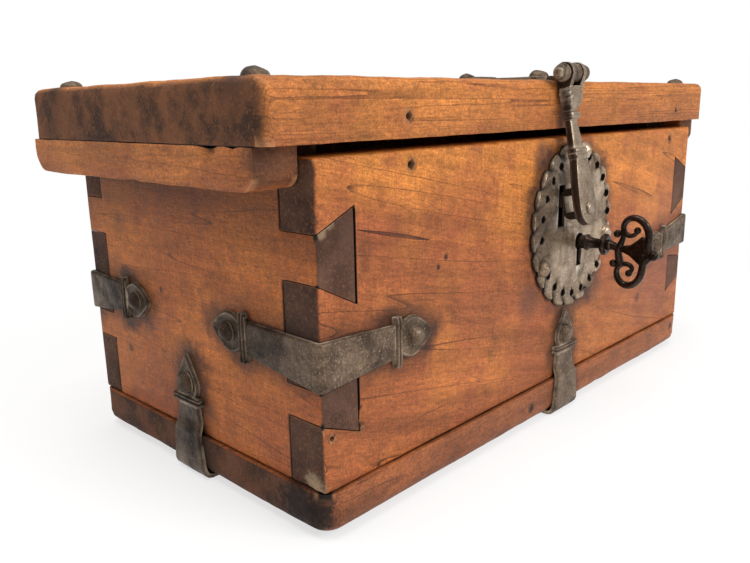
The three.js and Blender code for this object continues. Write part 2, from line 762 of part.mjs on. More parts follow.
function hasp_arm() {
  const head = hasp_half * 2;
  // The back of the upper part clears the lid when the hasp is shut
  const lid_side = (drop) => behind_pin(-seat_gap * 2, drop);
  const section = ([drop, width, depth], back) => [
    -drop * arm_length, width, depth, back - depth / 2, Math.min(width, depth) / 6];
  // drop share of the arm's length, width share, depth share
  const bell_shares = [[0.085, 1.02, 0.86], [0.12, 1, 1], [0.185, 1, 1.04], [0.222, 0.8, 0.95],
    [0.248, 0.56, 0.75]];
  const ring_shares = [[0.254, 0.72, 0.94], [0.272, 0.78, 1], [0.29, 0.72, 0.94],
    [0.296, 0.6, 0.8]];
  const top = [...bell_shares, ...ring_shares].map(([drop, w, d]) => section(
    [drop, w * arm_bell_width, d * arm_bell_depth], lid_side(drop * arm_length)));
  const bar = [
    section([0.302, arm_bar_width, arm_bar_depth], lid_side(0.302 * arm_length)),
    section([0.46, arm_bar_width * 1.4, arm_bar_depth], hasp_back)];
  // two collars, then the flat end
  const flat_shares = [[0.488, 0.6, 0.86], [0.492, 0.68, 1.15], [0.504, 0.7, 1.2],
    [0.516, 0.68, 1.15], [0.523, 0.62, 0.95], [0.53, 0.68, 1.15], [0.542, 0.7, 1.2],
    [0.554, 0.68, 1.15], [0.558, 0.62, 1], [0.62, 0.74, 1], [0.72, 0.88, 1], [0.82, 0.98, 1],
    [0.9, 1, 1], [0.95, 0.86, 1], [0.985, 0.52, 0.9], [1, 0.28, 0.8]];
  const flat = flat_shares.map(([drop, w, d]) => section(
    [drop, w * arm_width, d * arm_thickness], hasp_back));
  const body = forged([...top, ...bar, ...flat]);
  const cheek_low = -0.1 * arm_length;
  const cheek = new THREE.Shape();
  cheek.absarc(0, 0, hasp_eye_radius, -Math.PI * 0.1, Math.PI * 1.1);
  cheek.lineTo(-hasp_eye_radius * 0.3, cheek_low);
  cheek.lineTo(hasp_eye_radius * 0.6, cheek_low);
  cheek.closePath();
  const eyes = [-hasp_half, hasp_half - hasp_eye_width].map((x) => prism(cheek, 'x',
    x, x + hasp_eye_width));
  const bore = rod(hasp_pin_radius + seat_gap, new THREE.Vector3(-head, 0, 0),
    directions.right, head * 2);
  const rivet = rod(rivet_radius + seat_gap, new THREE.Vector3(0, overrun * 4, -rivet_drop),
    directions.front, overrun * 8);
  return cut(join(body, ...eyes), bore, rivet);
}

function hasp_staple() {
  const back = hasp_back + seat_gap;
  const end = back + staple_depth;
  const shape = new THREE.Shape();
  shape.moveTo(back, -staple_top);
  shape.lineTo(back, -staple_bottom);
  shape.absarc(end - staple_corner, -staple_bottom + staple_corner, staple_corner,
    -Math.PI / 2, 0);
  shape.absarc(end - staple_corner, -staple_top - staple_corner, staple_corner, 0, Math.PI / 2);
  shape.closePath();
  const half = staple_width / 2;
  const loop = prism(shape, 'x', -half, half);
  const eye_back = back + staple_iron / 2;
  const eye_end = end - staple_end_iron;
  const eye = block([-staple_width, eye_back, -staple_bottom + staple_iron],
    [staple_width, eye_end, -staple_top - staple_iron]);
  const front = hasp_back - arm_thickness - seat_gap;
  const lap = rivet_radius / 4;
  const stem = rod(rivet_radius, new THREE.Vector3(0, back + lap, -rivet_drop), directions.front,
    back - front + lap * 2);
  const head = turned([[0, 0], [rivet_head_radius, 0], [rivet_head_radius * 0.8, rivet_radius / 2],
    [0, rivet_radius * 0.9]], new THREE.Vector3(0, front, -rivet_drop), directions.front);
  return join(cut(loop, eye), stem, head);
}

// The key's outlines are shares of the bow: y out from its start, then height from the axis
const upper_scroll_shares = [[0.6, 0.56], [0.52, 0.42], [0.4, 0.39], [0.29, 0.48], [0.27, 0.67],
  [0.38, 0.85], [0.55, 0.9], [0.73, 0.77], [0.83, 0.54], [0.84, 0.31], [0.83, 0.12], [0.88, -0.04]];
const lower_scroll_shares = [[0.46, -0.68], [0.54, -0.57], [0.49, -0.44], [0.34, -0.42],
  [0.2, -0.51], [0.17, -0.73], [0.26, -0.94], [0.41, -1.01], [0.57, -0.95], [0.69, -0.76],
  [0.73, -0.51], [0.75, -0.28], [0.84, -0.14]];
const palm_shares = [[0.05, 0.09], [0.38, 0.09], [0.68, 0.22], [0.84, 0.08], [0.97, -0.03],
  [0.97, -0.13], [0.84, -0.22], [0.68, -0.26], [0.38, -0.12], [0.05, -0.05]];
const cross_shares = [[0.28, 0.48], [0.28, 0.25], [0.17, 0.02], [0.17, -0.15], [0.23, -0.44]];
const knob_shares = [[0.16, 0.42], [0.08, -0.44]];
const end_ball_shares = [0.97, -0.09];

function bow_point([reach, rise]) {
  return new THREE.Vector3(key_x, key_bow_start - reach * key_bow_reach,
    key_z - key_bow_drop + rise * key_bow_half);
}

function key_bow() {
  const iron_radius = key_bow_iron;
  const bars = [upper_scroll_shares, lower_scroll_shares].map((shares) => swept(
    shares.map(bow_point), iron_radius, shares.length + small_sides / 2));
  const cross = swept(cross_shares.map(bow_point), iron_radius * 1.1, small_sides);
  const palm = prism(palm_shares.map((share) => {
    const { y, z } = bow_point(share);
    return [y, z];
  }), 'x', key_x - iron_radius, key_x + iron_radius);
  const knob_profile = [[0, -1], [0.7, -0.7], [1, 0], [0.7, 0.7], [0, 1]]
    .map(([r, h]) => [r * iron_radius * 1.25, h * iron_radius * 1.25]);
  const knobs = knob_shares.map((share) => turned(knob_profile,
    bow_point(share), directions.front, small_sides));
  const ball_profile = knob_profile.map(([r, h]) => [r * 1.4, h * 1.4]);
  const ball = turned(ball_profile, bow_point(end_ball_shares), directions.front,
    small_sides);
  const links = knob_shares.map((share, i) => swept(
    [bow_point(share), bow_point(cross_shares[i === 0 ? 0 : cross_shares.length - 1])],
    iron_radius * 0.8, 1));
  return join(palm, cross, ball, ...bars, ...knobs, ...links);
}

function key() {
  const at = new THREE.Vector3(key_x, 0, key_z);
  const bore_floor = bit_front - pipe_radius;
  const ring_y = plate_front - seat_gap - key_ring_radius;
  const profile = [[0, bore_floor], [pipe_radius, bore_floor], [pipe_radius, key_inner_end],
    [key_stem_radius, key_inner_end], [key_stem_radius, ring_y + key_ring_radius / 3],
    [key_ring_radius, ring_y], [key_neck_radius * 1.2, ring_y - key_ring_radius / 3],
    [key_neck_radius, collar_y + collar_width], [key_neck_radius, collar_y - collar_width],
    [key_neck_radius * 1.2, key_bow_start], [0, key_bow_start - key_neck_radius]];
  const stem = turned(profile, at, directions.back);
  const bit = block(
    [key_x - bit_thickness / 2, bit_front, key_z - bit_radius],
    [key_x + bit_thickness / 2, bit_back, key_z - (pipe_radius + key_stem_radius) / 2]);
  const ward_slot = cut(
    rod(ward_inner + ward_wall + running_gap, new THREE.Vector3(key_x, bit_back + overrun, key_z),
      directions.front, overrun + bit_back - lock_plate_front + ward_reach + running_gap),
    rod(ward_inner - running_gap, new THREE.Vector3(key_x, bit_back + overrun * 2, key_z),
      directions.front, overrun * 4));
  return join(stem, cut(bit, ward_slot), key_bow());
}

function key_collar() {
  const inner = key_neck_radius + seat_gap;
  const half = collar_width / 2;
  const profile = [[inner, -half], [collar_radius * 0.8, -half], [collar_radius, -half / 3],
    [collar_radius, half / 3], [collar_radius * 0.8, half], [inner, half], [inner, -half]];
  return turned(profile, new THREE.Vector3(key_x, collar_y, key_z), directions.back);
}

// What the bit sweeps in the talon as it turns: [trailing side, leading side] at each angle
const sweep_steps = 12;
const talon_sweep = Array.from({ length: sweep_steps + 1 }, (_, i) => {
  const turn = THREE.MathUtils.degToRad(key_turn) * i / sweep_steps;
  const lead = bit_radius * Math.sin(turn) + bit_thickness / 2 * Math.cos(turn);
  const trail = talon_drop * Math.tan(turn) - bit_thickness / 2 / Math.cos(turn);
  return [trail, lead];
});
const last_sweep = talon_sweep[sweep_steps];
const bolt_travel = (last_sweep[0] + last_sweep[1]) / 2;
const talon_half = Math.max(...talon_sweep.map(([trail, lead], i) => {
  const moved = bolt_travel * i / sweep_steps;
  return Math.max(moved - trail, lead - moved);
})) + talon_clearance;

function bolt() {
  const bar_high = bolt_bar_z + bolt_bar_height / 2;
  const tip = hasp_x + staple_width / 2 + bolt_tip_clearance;
  const notch_floor = key_z - bit_radius - talon_clearance;
  const low = notch_floor - talon_web;
  const end = lock_right - bolt_end_room;
  const upright = end - bolt_upright_width;
  const [notch_left, notch_right] = [key_x - talon_half, key_x + talon_half];
  const outline = [[tip, bolt_bar_low], [upright, bolt_bar_low], [upright, talon_top],
    [notch_right, talon_top], [notch_right, notch_floor], [notch_left, notch_floor],
    [notch_left, talon_top], [notch_left - talon_finger, talon_top],
    [notch_left - talon_finger, low],
    [end, low], [end, bar_high], [tip, bar_high]];
  return prism(outline, 'y', bolt_front, bolt_front + bolt_thickness);
}

// A rail carries one edge of the bolt and laps behind it
function rail(edge, side) {
  const inner = edge + side * seat_gap;
  const outer = inner + side * rail_thickness;
  const lip = inner - side * rail_lip;
  const behind = bolt_front + bolt_thickness + seat_gap;
  const wall_z = [inner, outer].sort((a, b) => a - b);
  const lip_z = [lip, outer].sort((a, b) => a - b);
  return join(
    block([rail_left, bolt_front, wall_z[0]],
      [rail_right, lock_plate_front + lock_plate_thickness / 2, wall_z[1]]),
    block([rail_left, behind, lip_z[0]], [rail_right, behind + rail_thickness, lip_z[1]]));
}

function lock_back_plate() {
  const inset = seat_gap * 2;
  const plate = block([lock_left + inset, lock_plate_front, lock_low + inset],
    [lock_right - inset, lock_floor, lock_high - inset]);
  const low_edge = key_z - bit_radius - talon_clearance - talon_web;
  const high_edge = bolt_bar_z + bolt_bar_height / 2;
  const pillar_inset = pillar_radius + inset * 2;
  const pillars = [[lock_left + pillar_inset, lock_low + pillar_inset],
    [lock_right - pillar_inset, lock_high - pillar_inset]].map(([x, z]) => rod(
    pillar_radius, new THREE.Vector3(x, lock_floor - lock_plate_thickness / 2, z),
    directions.front, lock_floor - lock_plate_thickness / 2 - seat_gap, small_sides));
  return join(plate, rail(low_edge, -1), rail(high_edge, 1), ...pillars);
}

function lock_key_post() {
  const from = lock_plate_front;
  const length = from - bit_front;
  return rod(pipe_radius - seat_gap, new THREE.Vector3(key_x, from, key_z), directions.front,
    length, small_sides);
}

function lock_ward() {
  const [inner, outer] = [ward_inner, ward_inner + ward_wall];
  return turned([[inner, 0], [outer, 0], [outer, ward_reach], [inner, ward_reach], [inner, 0]],
    new THREE.Vector3(key_x, lock_plate_front, key_z), directions.front);
}

// A bowed leaf that presses the bolt's upper bar and holds it where it is put
function bolt_spring() {
  const touch = bolt_bar_low - seat_gap;
  const [x, z] = [rail_left, talon_top + spring_foot_share * (bolt_bar_low - talon_top)];
  const [size, t] = [spring_foot_size, spring_thickness];
  const reach = bolt_upright_width * 4;
  const leaf = [[x, z], [x + size, z], [x + size + reach * 0.4, z + size],
    [x + size + reach * 0.65, touch - t], [x + size + reach * 0.8, touch - t],
    [x + size + reach * 0.8, touch], [x + size + reach * 0.55, touch],
    [x + size + reach * 0.3, z + size + t], [x + size, z + size], [x, z + size]];
  const bow = prism(leaf, 'y', bolt_front, bolt_front + spring_width);
  const foot = block([x, bolt_front, z], [x + size, lock_plate_front, z + size]);
  return join(bow, foot);
}

// Three knuckles: the outer two are the box leaf's and the middle one is the lid leaf's
function knuckle(x, from, to) {
  return rod(hinge_radius, new THREE.Vector3(x + from, hinge_y, hinge_z), directions.right,
    to - from);
}

function hinge_bore(x) {
  return rod(hinge_pin_radius + seat_gap, new THREE.Vector3(x - hinge_width, hinge_y, hinge_z),
    directions.right, hinge_width * 2);
}

function hinge_box_leaf(x) {
  const half = hinge_width / 2;
  const middle = hinge_knuckle_width / 2 + running_gap;
  const below = hinge_radius + running_gap;
  const shape = spade_outline(below, hinge_leaf_drop, hinge_width, corner_neck_width,
    corner_collar_width);
  const origin = new THREE.Vector3(x, body_depth, hinge_z);
  const leaf = leg(shape, origin, directions.down, directions.back, seat_gap,
    seat_gap + strap_thickness);
  const sides = [[-half, -middle], [middle, half]].flatMap(([from, to]) => [
    knuckle(x, from, to),
    block([x + from, body_depth + seat_gap, hinge_z - below * 2],
      [x + to, body_depth + seat_gap + strap_thickness, hinge_z]),
  ]);
  return drilled(cut(join(leaf, ...sides), hinge_bore(x)));
}

function hinge_lid_leaf(x) {
  const middle = hinge_knuckle_width / 2;
  const back = hinge_y + hinge_radius;
  const front = back - strap_thickness;
  const top = lid_top + strap_thickness;
  const above = hinge_z + hinge_radius + running_gap;
  const tip = lid_back - hinge_leaf_reach;
  const side = [[back, above], [back, top], [tip - overrun, top], [tip - overrun, lid_top],
    [front, lid_top], [front, above]];
  const strip = prism(side, 'x', x - hinge_width, x + hinge_width);
  const shape = spade_outline(-overrun, back - tip, hinge_width, corner_neck_width,
    corner_collar_width);
  const outline = leg(shape, new THREE.Vector3(x, back, 0), directions.front, directions.up, 0,
    top + overrun);
  const neck = block([x - middle, front, hinge_z], [x + middle, back, above + overrun]);
  const leaf = join(strip.intersect(outline), neck, knuckle(x, -middle, middle));
  return drilled(cut(leaf, hinge_bore(x)));
}

function hinge_pin(x) {
  const half = hinge_width / 2 + running_gap;
  const [shaft, head] = [hinge_pin_radius, hinge_head_radius];
  const end = half + hinge_head_height;
  return turned([[0, -end], [head, -end], [head, -half], [shaft, -half], [shaft, half],
    [head, half], [head, end], [0, end]], new THREE.Vector3(x, hinge_y, hinge_z),
  directions.right);
}

// The pieces, grouped as they move
const box = new THREE.Group();
box.add(
  piece('front_board', front_board(), wood),
  piece('back_board', back_board(), wood),
  piece('left_side_board', side_board(false), dark_wood),
  piece('right_side_board', side_board(true), wood),
  piece('base_board', base_board(), wood),
  piece('lock_plate', lock_plate(), plate_iron),
  piece('lock_back_plate', lock_back_plate(), iron),
  piece('lock_key_post', lock_key_post(), iron),
  piece('lock_ward', lock_ward(), iron),
  piece('bolt_spring', bolt_spring(), iron),
  piece('bolt', bolt(), iron),
);
for (const [name, strap] of Object.entries(corner_straps)) {
  box.add(piece(name, corner_strap(strap), iron));
}
for (const [name, strap] of Object.entries(foot_straps)) {
  box.add(piece(name, foot_strap(strap), iron));
}

const lid = new THREE.Group();
lid.add(
  piece('lid_board', lid_board(), wood),
  piece('left_batten', batten(false), dark_wood),
  piece('right_batten', batten(true), dark_wood),
  piece('lid_strap', lid_strap(), iron),
  piece('hasp_pin', hasp_pin(), iron),
);

hinge_places.forEach((x, i) => {
  box.add(piece(`hinge_box_leaf_${i + 1}`, hinge_box_leaf(x), iron));
  box.add(piece(`hinge_pin_${i + 1}`, hinge_pin(x), iron));
  lid.add(piece(`hinge_lid_leaf_${i + 1}`, hinge_lid_leaf(x), iron));
});

for (const [name, spec] of Object.entries(nails)) {
  (name.includes('lid') ? lid : box).add(piece(name, nail(spec), iron));
}

const hasp = new THREE.Group();
hasp.position.set(hasp_x, hasp_pin_y, hasp_pin_z);
hasp.rotation.x = -THREE.MathUtils.degToRad(hasp_rest_tilt);
hasp.add(piece('hasp_arm', hasp_arm(), iron), piece('hasp_staple', hasp_staple(), iron));
lid.add(hasp);

const key_group = new THREE.Group();
key_group.add(piece('key', key(), black_iron), piece('key_collar', key_collar(), black_iron));

// The whole box stands on its feet, over the middle of its outline
const group = new THREE.Group();
group.add(box, lid, key_group);
group.updateMatrixWorld(true);
const bounds = new THREE.Box3().setFromObject(group, true);
group.position.set(-(bounds.min.x + bounds.max.x) / 2, -(bounds.min.y + bounds.max.y) / 2,
  -bounds.min.z);

export default group;
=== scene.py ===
import json
import math
import random

import bmesh
import bpy
import numpy as np
from mathutils import Matrix, Vector
from mathutils.bvhtree import BVHTree


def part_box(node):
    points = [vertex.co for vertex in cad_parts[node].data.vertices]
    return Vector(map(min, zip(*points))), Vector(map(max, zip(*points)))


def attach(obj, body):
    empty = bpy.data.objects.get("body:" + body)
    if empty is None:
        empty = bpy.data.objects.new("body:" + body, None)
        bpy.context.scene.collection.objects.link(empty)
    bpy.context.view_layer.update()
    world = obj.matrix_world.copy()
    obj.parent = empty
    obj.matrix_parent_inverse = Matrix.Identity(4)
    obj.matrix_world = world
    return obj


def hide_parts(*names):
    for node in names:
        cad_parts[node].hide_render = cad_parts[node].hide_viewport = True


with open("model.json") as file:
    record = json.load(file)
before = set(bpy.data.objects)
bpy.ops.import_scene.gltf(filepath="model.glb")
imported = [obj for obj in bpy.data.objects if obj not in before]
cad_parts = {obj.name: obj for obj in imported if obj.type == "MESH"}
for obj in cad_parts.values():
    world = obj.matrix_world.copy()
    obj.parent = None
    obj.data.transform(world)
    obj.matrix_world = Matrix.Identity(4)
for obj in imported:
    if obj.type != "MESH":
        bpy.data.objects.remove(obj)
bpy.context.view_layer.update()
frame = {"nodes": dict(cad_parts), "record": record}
mm = 0.001

# The drawing's zero, the front left corner of the body at the base's underside, in the frame
CORNER = Vector((-226.5, -93.7925, 3.0)) * mm


def at(x, y, z):
    """A point of the drawing, in millimetres, as a point of the frame in metres."""
    return CORNER + Vector((x, y, z)) * mm


# Sizes of the drawing, in millimetres
BODY_LENGTH = 453.0
BODY_DEPTH = 239.0
LID_TOP = 238.0
STRAP_THICKNESS = 3.0
PLATE = (245.526, 137.35)
PLATE_HALF = (54.7, 59.1)
PLATE_THICKNESS = 2.5
PUNCH_RING = (249.15, 137.0)
PUNCH_RING_HALF = (46.65, 50.3)
PUNCH_RADIUS = 2.6
PLATE_LOBES = 22
KEYHOLE = (255.026, 124.15)
KEYHOLE_RADIUS = 6.4
KEY_SLOT = (106.15, 124.15)
HASP_SLOT = (138.2, 167.7)
CUTTER_DEPTH = 12
HASP_X = 227.526
HASP_PIN = (-5.0, 242.4)
HASP_TILT = math.radians(12.3)
FOOT_TOP = 76.25


# Materials

def linear(hex_colour):
    """An sRGB hex colour as linear red, green, blue and alpha."""
    values = [int(hex_colour[i:i + 2], 16) / 255 for i in (0, 2, 4)]
    return [v / 12.92 if v <= 0.04045 else ((v + 0.055) / 1.055) ** 2.4 for v in values] + [1]


def add_node(tree, kind, settings=None, inputs=None):
    """Adds a node and sets its properties. An input is a number, a colour, a socket, or a node,
    which gives its first output in use."""
    node = tree.nodes.new("ShaderNode" + kind)
    for name, value in (settings or {}).items():
        setattr(node, name, value)
    for name, value in (inputs or {}).items():
        if isinstance(value, bpy.types.Node):
            value = next(socket for socket in value.outputs if socket.enabled)
        if isinstance(value, bpy.types.NodeSocket):
            tree.links.new(value, node.inputs[name])
        else:
            node.inputs[name].default_value = value
    return node


def new_material(name):
    material = bpy.data.materials.new(name)
    material.use_nodes = True
    material.node_tree.nodes.clear()
    return material, material.node_tree


MIX = {"data_type": "RGBA"}
TINT = {"data_type": "RGBA", "blend_type": "MULTIPLY"}
SMOOTH = {"interpolation_type": "SMOOTHSTEP"}
MULTIPLY, ADD_PRODUCT = {"operation": "MULTIPLY"}, {"operation": "MULTIPLY_ADD"}
CLAMPED_PRODUCT = {"operation": "MULTIPLY_ADD", "use_clamp": True}


def old_pine(name, grain, high, low, deep, lines, spots=(), height=(0.03, 0.19), slant=0.0,
             streaks=0.06, dust_and_shade_top=0.0, end_dark=0.94, end_tints=("2A1C16", "4A3429")):
    """Old waxed pine, sawn flat and handled for long: soft orange brown with a fine fibre, thin
    dark growth lines along it, dark dirty end grain, and blue black stains where iron lies. The
    growth lines are told by how close, how many, how wide and how dark they are."""
    line_scale, line_count, line_width, line_strength = lines
    material, tree = new_material(name)
    place = add_node(tree, "TexCoord")
    spot = place.outputs["Object"]
    turn = (0, slant, 0) if grain == "x" else (0, 0, math.radians(90))
    along = add_node(tree, "Mapping", {}, {"Rotation": turn, "Vector": spot})
    # Fibres 1.1 mm apart and 7 mm long, bands of them 9 mm apart and 110 mm long, a long slow
    # noise for the growth lines, and the streaks that wiping left, 1.5 mm wide and 25 mm tall.
    # Grime and pores 1 mm across, mottling 3 mm, blotches 22 mm and patches 85 mm across.
    noise = {}
    for part, source, scale, detail, rough in (
            ("fibres", along, (150, 900, 900), 4.0, 0.62),
            ("bands", along, (9, 110, 110), 4.0, 0.6),
            ("levels", along, (1.5, line_scale, line_scale), 1.5, 0.4),
            ("streak", spot, (650, 650, 40), 3.0, 0.5),
            ("grime", spot, (950,) * 3, 3.0, 0.75), ("pores", spot, (620,) * 3, 3.0, 0.8),
            ("mottle", spot, (330,) * 3, 5.0, 0.7), ("blotches", spot, (45,) * 3, 5.0, 0.62),
            ("patches", spot, (12,) * 3, 3.0, 0.55)):
        stretched = add_node(tree, "Mapping", {}, {"Scale": scale, "Vector": source})
        noise[part] = add_node(tree, "TexNoise", {}, {
            "Scale": 1.0, "Detail": detail, "Roughness": rough, "Vector": stretched})
    parts, slanted, facing = [add_node(tree, "SeparateXYZ", {}, {"Vector": vector})
                              for vector in (spot, along, place.outputs["Normal"])]
    # The upper part of a face is lighter and yellower, as far as a growth line: partly the wood's
    # own tone, partly painted light from above
    twice = add_node(tree, "Math", {"operation": "ADD"}, {
        0: slanted.outputs["Z"], 1: parts.outputs["Z"]})
    ends = add_node(tree, "Math", {"operation": "ABSOLUTE"}, {
        0: facing.outputs["X" if grain == "x" else "Y"]})
    near_iron, edge, seam = [
        add_node(tree, "Attribute", {"attribute_name": attribute}).outputs["Fac"]
        for attribute in ("iron_near", "edge", "seam")]
    # The share of each finish: where it is read, from what to what there, and what that gives
    share = {}
    for part, source, start, end, least, most, easing in (
            ("high", twice, height[0] * 2, height[1] * 2, -0.32, 0.6, {}),
            ("patch", noise["patches"], 0.4, 0.6, 0, 0.72, {}),
            ("blotch", noise["blotches"], 0.48, 0.66, 0, 0.65, {}),
            ("lines_here", noise["bands"], 0.36, 0.56, 0, line_strength, {}),
            ("end_grain", ends, 0.45, 0.85, 0, end_dark, {}),
            ("end_mottle", noise["blotches"], 0.4, 0.6, 0, 1, {}),
            ("fleck", noise["pores"], 0.54, 0.66, 0, 0.55, {}),
            ("dust_and_shade", parts.outputs["Z"], 0.135, 0.19, 0, dust_and_shade_top, SMOOTH),
            ("smudge_here", noise["patches"], 0.42, 0.58, 0.2, 1, {}),
            ("beside_iron", near_iron, 0.0005, 0.0035, 0.8, 0, SMOOTH),
            ("seam", seam, 0.1, 0.7, 0, 1, {}),
            ("roughness", noise["mottle"], 0.3, 0.7, 0.4, 0.62, {})):
        share[part] = add_node(tree, "MapRange", easing, {
            "Value": source, "From Min": start, "From Max": end, "To Min": least,
            "To Max": most})
    high_share = add_node(tree, "Math", {"operation": "ADD", "use_clamp": True}, {
        0: share["patch"], 1: share["high"]})
    colour = add_node(tree, "Mix", MIX, {0: high_share, 6: linear(low), 7: linear(high)})
    # Growth lines: the level lines of the long slow noise, here and there
    many = add_node(tree, "Math", MULTIPLY, {0: noise["levels"], 1: line_count})
    level = add_node(tree, "Math", {"operation": "FRACT"}, {0: many})
    line = add_node(tree, "MapRange", {}, {
        "Value": level, "From Min": 0.0, "From Max": line_width, "To Min": 1.0, "To Max": 0.0})
    line_share = add_node(tree, "Math", MULTIPLY, {0: line, 1: share["lines_here"]})
    # Light and dark of the fibres, bands, mottling and streaks together
    tone = 1.0
    for part, depth in (("fibres", 0.6), ("bands", 0.6), ("mottle", 0.7), ("grime", 1.0),
                        ("blotches", 0.85), ("streak", streaks * 4)):
        step = add_node(tree, "MapRange", {"clamp": False}, {
            "Value": noise[part], "From Min": 0.25, "From Max": 0.75,
            "To Min": 1 - depth / 2, "To Max": 1 + depth / 2})
        tone = add_node(tree, "Math", MULTIPLY, {0: tone, 1: step})
    # End grain soaks up dirt and shows dark, with pale flecks and black pores
    end_colour = add_node(tree, "Mix", MIX, {
        0: share["end_mottle"], 6: linear(end_tints[0]), 7: linear(end_tints[1])})
    end_colour = add_node(tree, "Mix", MIX, {
        0: share["fleck"], 6: end_colour, 7: linear("8A5C38")})
    coats = [(share["blotch"], linear(deep), MIX), (line_share, linear("341609"), MIX),
             (1.0, tone, TINT), (share["end_grain"], end_colour, MIX)]
    # Dust and painted shade under the lid's overhang: the face darkens towards its top
    if dust_and_shade_top:
        coats.append((share["dust_and_shade"], linear("2E160C"), MIX))
    # Iron turns damp wood blue black: a dark line beside it and ragged smudges to 20 mm away
    ragged = near_iron
    for part, reach in (("blotches", -0.03), ("mottle", -0.006)):
        ragged = add_node(tree, "Math", ADD_PRODUCT, {0: noise[part], 1: reach, 2: ragged})
    smudge = add_node(tree, "MapRange", SMOOTH, {
        "Value": ragged, "From Min": -0.018, "From Max": -0.002, "To Min": 0.85, "To Max": 0.0})
    smudge_share = add_node(tree, "Math", MULTIPLY, {0: smudge, 1: share["smudge_here"]})
    stain = add_node(tree, "Math", {"operation": "MAXIMUM"}, {
        0: smudge_share, 1: share["beside_iron"]})
    coats.append((stain, linear("241712"), MIX))
    # Old nail holes, knocks, scraped places and patches of painted shade, ragged at the rim
    for centre, reach, strength, tint in spots:
        away = add_node(tree, "VectorMath", {"operation": "DISTANCE"}, {0: spot, 1: centre})
        uneven_away = add_node(tree, "Math", ADD_PRODUCT, {
            0: noise["mottle"], 1: -1.6 * reach, 2: away})
        ring = add_node(tree, "MapRange", SMOOTH, {
            "Value": uneven_away, "From Min": -0.5 * reach, "From Max": 0.2 * reach,
            "To Min": strength, "To Max": 0.0})
        coats.append((ring, linear(tint), MIX))
    # Edges are rubbed paler where hands wear them, and the joints are packed with old dirt
    rubbed = add_node(tree, "Math", MULTIPLY, {0: edge, 1: noise["mottle"]})
    rubbed_share = add_node(tree, "MapRange", {}, {
        "Value": rubbed, "From Min": 0.03, "From Max": 0.15, "To Max": 0.65})
    coats += [(rubbed_share, linear("B98257"), MIX), (share["seam"], linear("150C08"), MIX)]
    for covers, coat, mixing in coats:
        colour = add_node(tree, "Mix", mixing, {0: covers, 6: colour, 7: coat})
    roughness = add_node(tree, "Math", CLAMPED_PRODUCT, {
        0: share["end_grain"], 1: 0.25, 2: share["roughness"]})
    groove = add_node(tree, "Math", ADD_PRODUCT, {0: line_share, 1: -0.5, 2: noise["fibres"]})
    grain_bump = add_node(tree, "Bump", {}, {
        "Strength": 0.5, "Distance": 0.0006, "Height": groove})
    dents = add_node(tree, "Bump", {}, {
        "Strength": 0.6, "Distance": 0.0012, "Height": noise["mottle"], "Normal": grain_bump})
    shader = add_node(tree, "BsdfPrincipled", {}, {
        "IOR": 1.45, "Specular IOR Level": 0.3, "Base Color": colour, "Roughness": roughness,
        "Normal": dents})
    add_node(tree, "OutputMaterial", {}, {"Surface": shader})
    return material


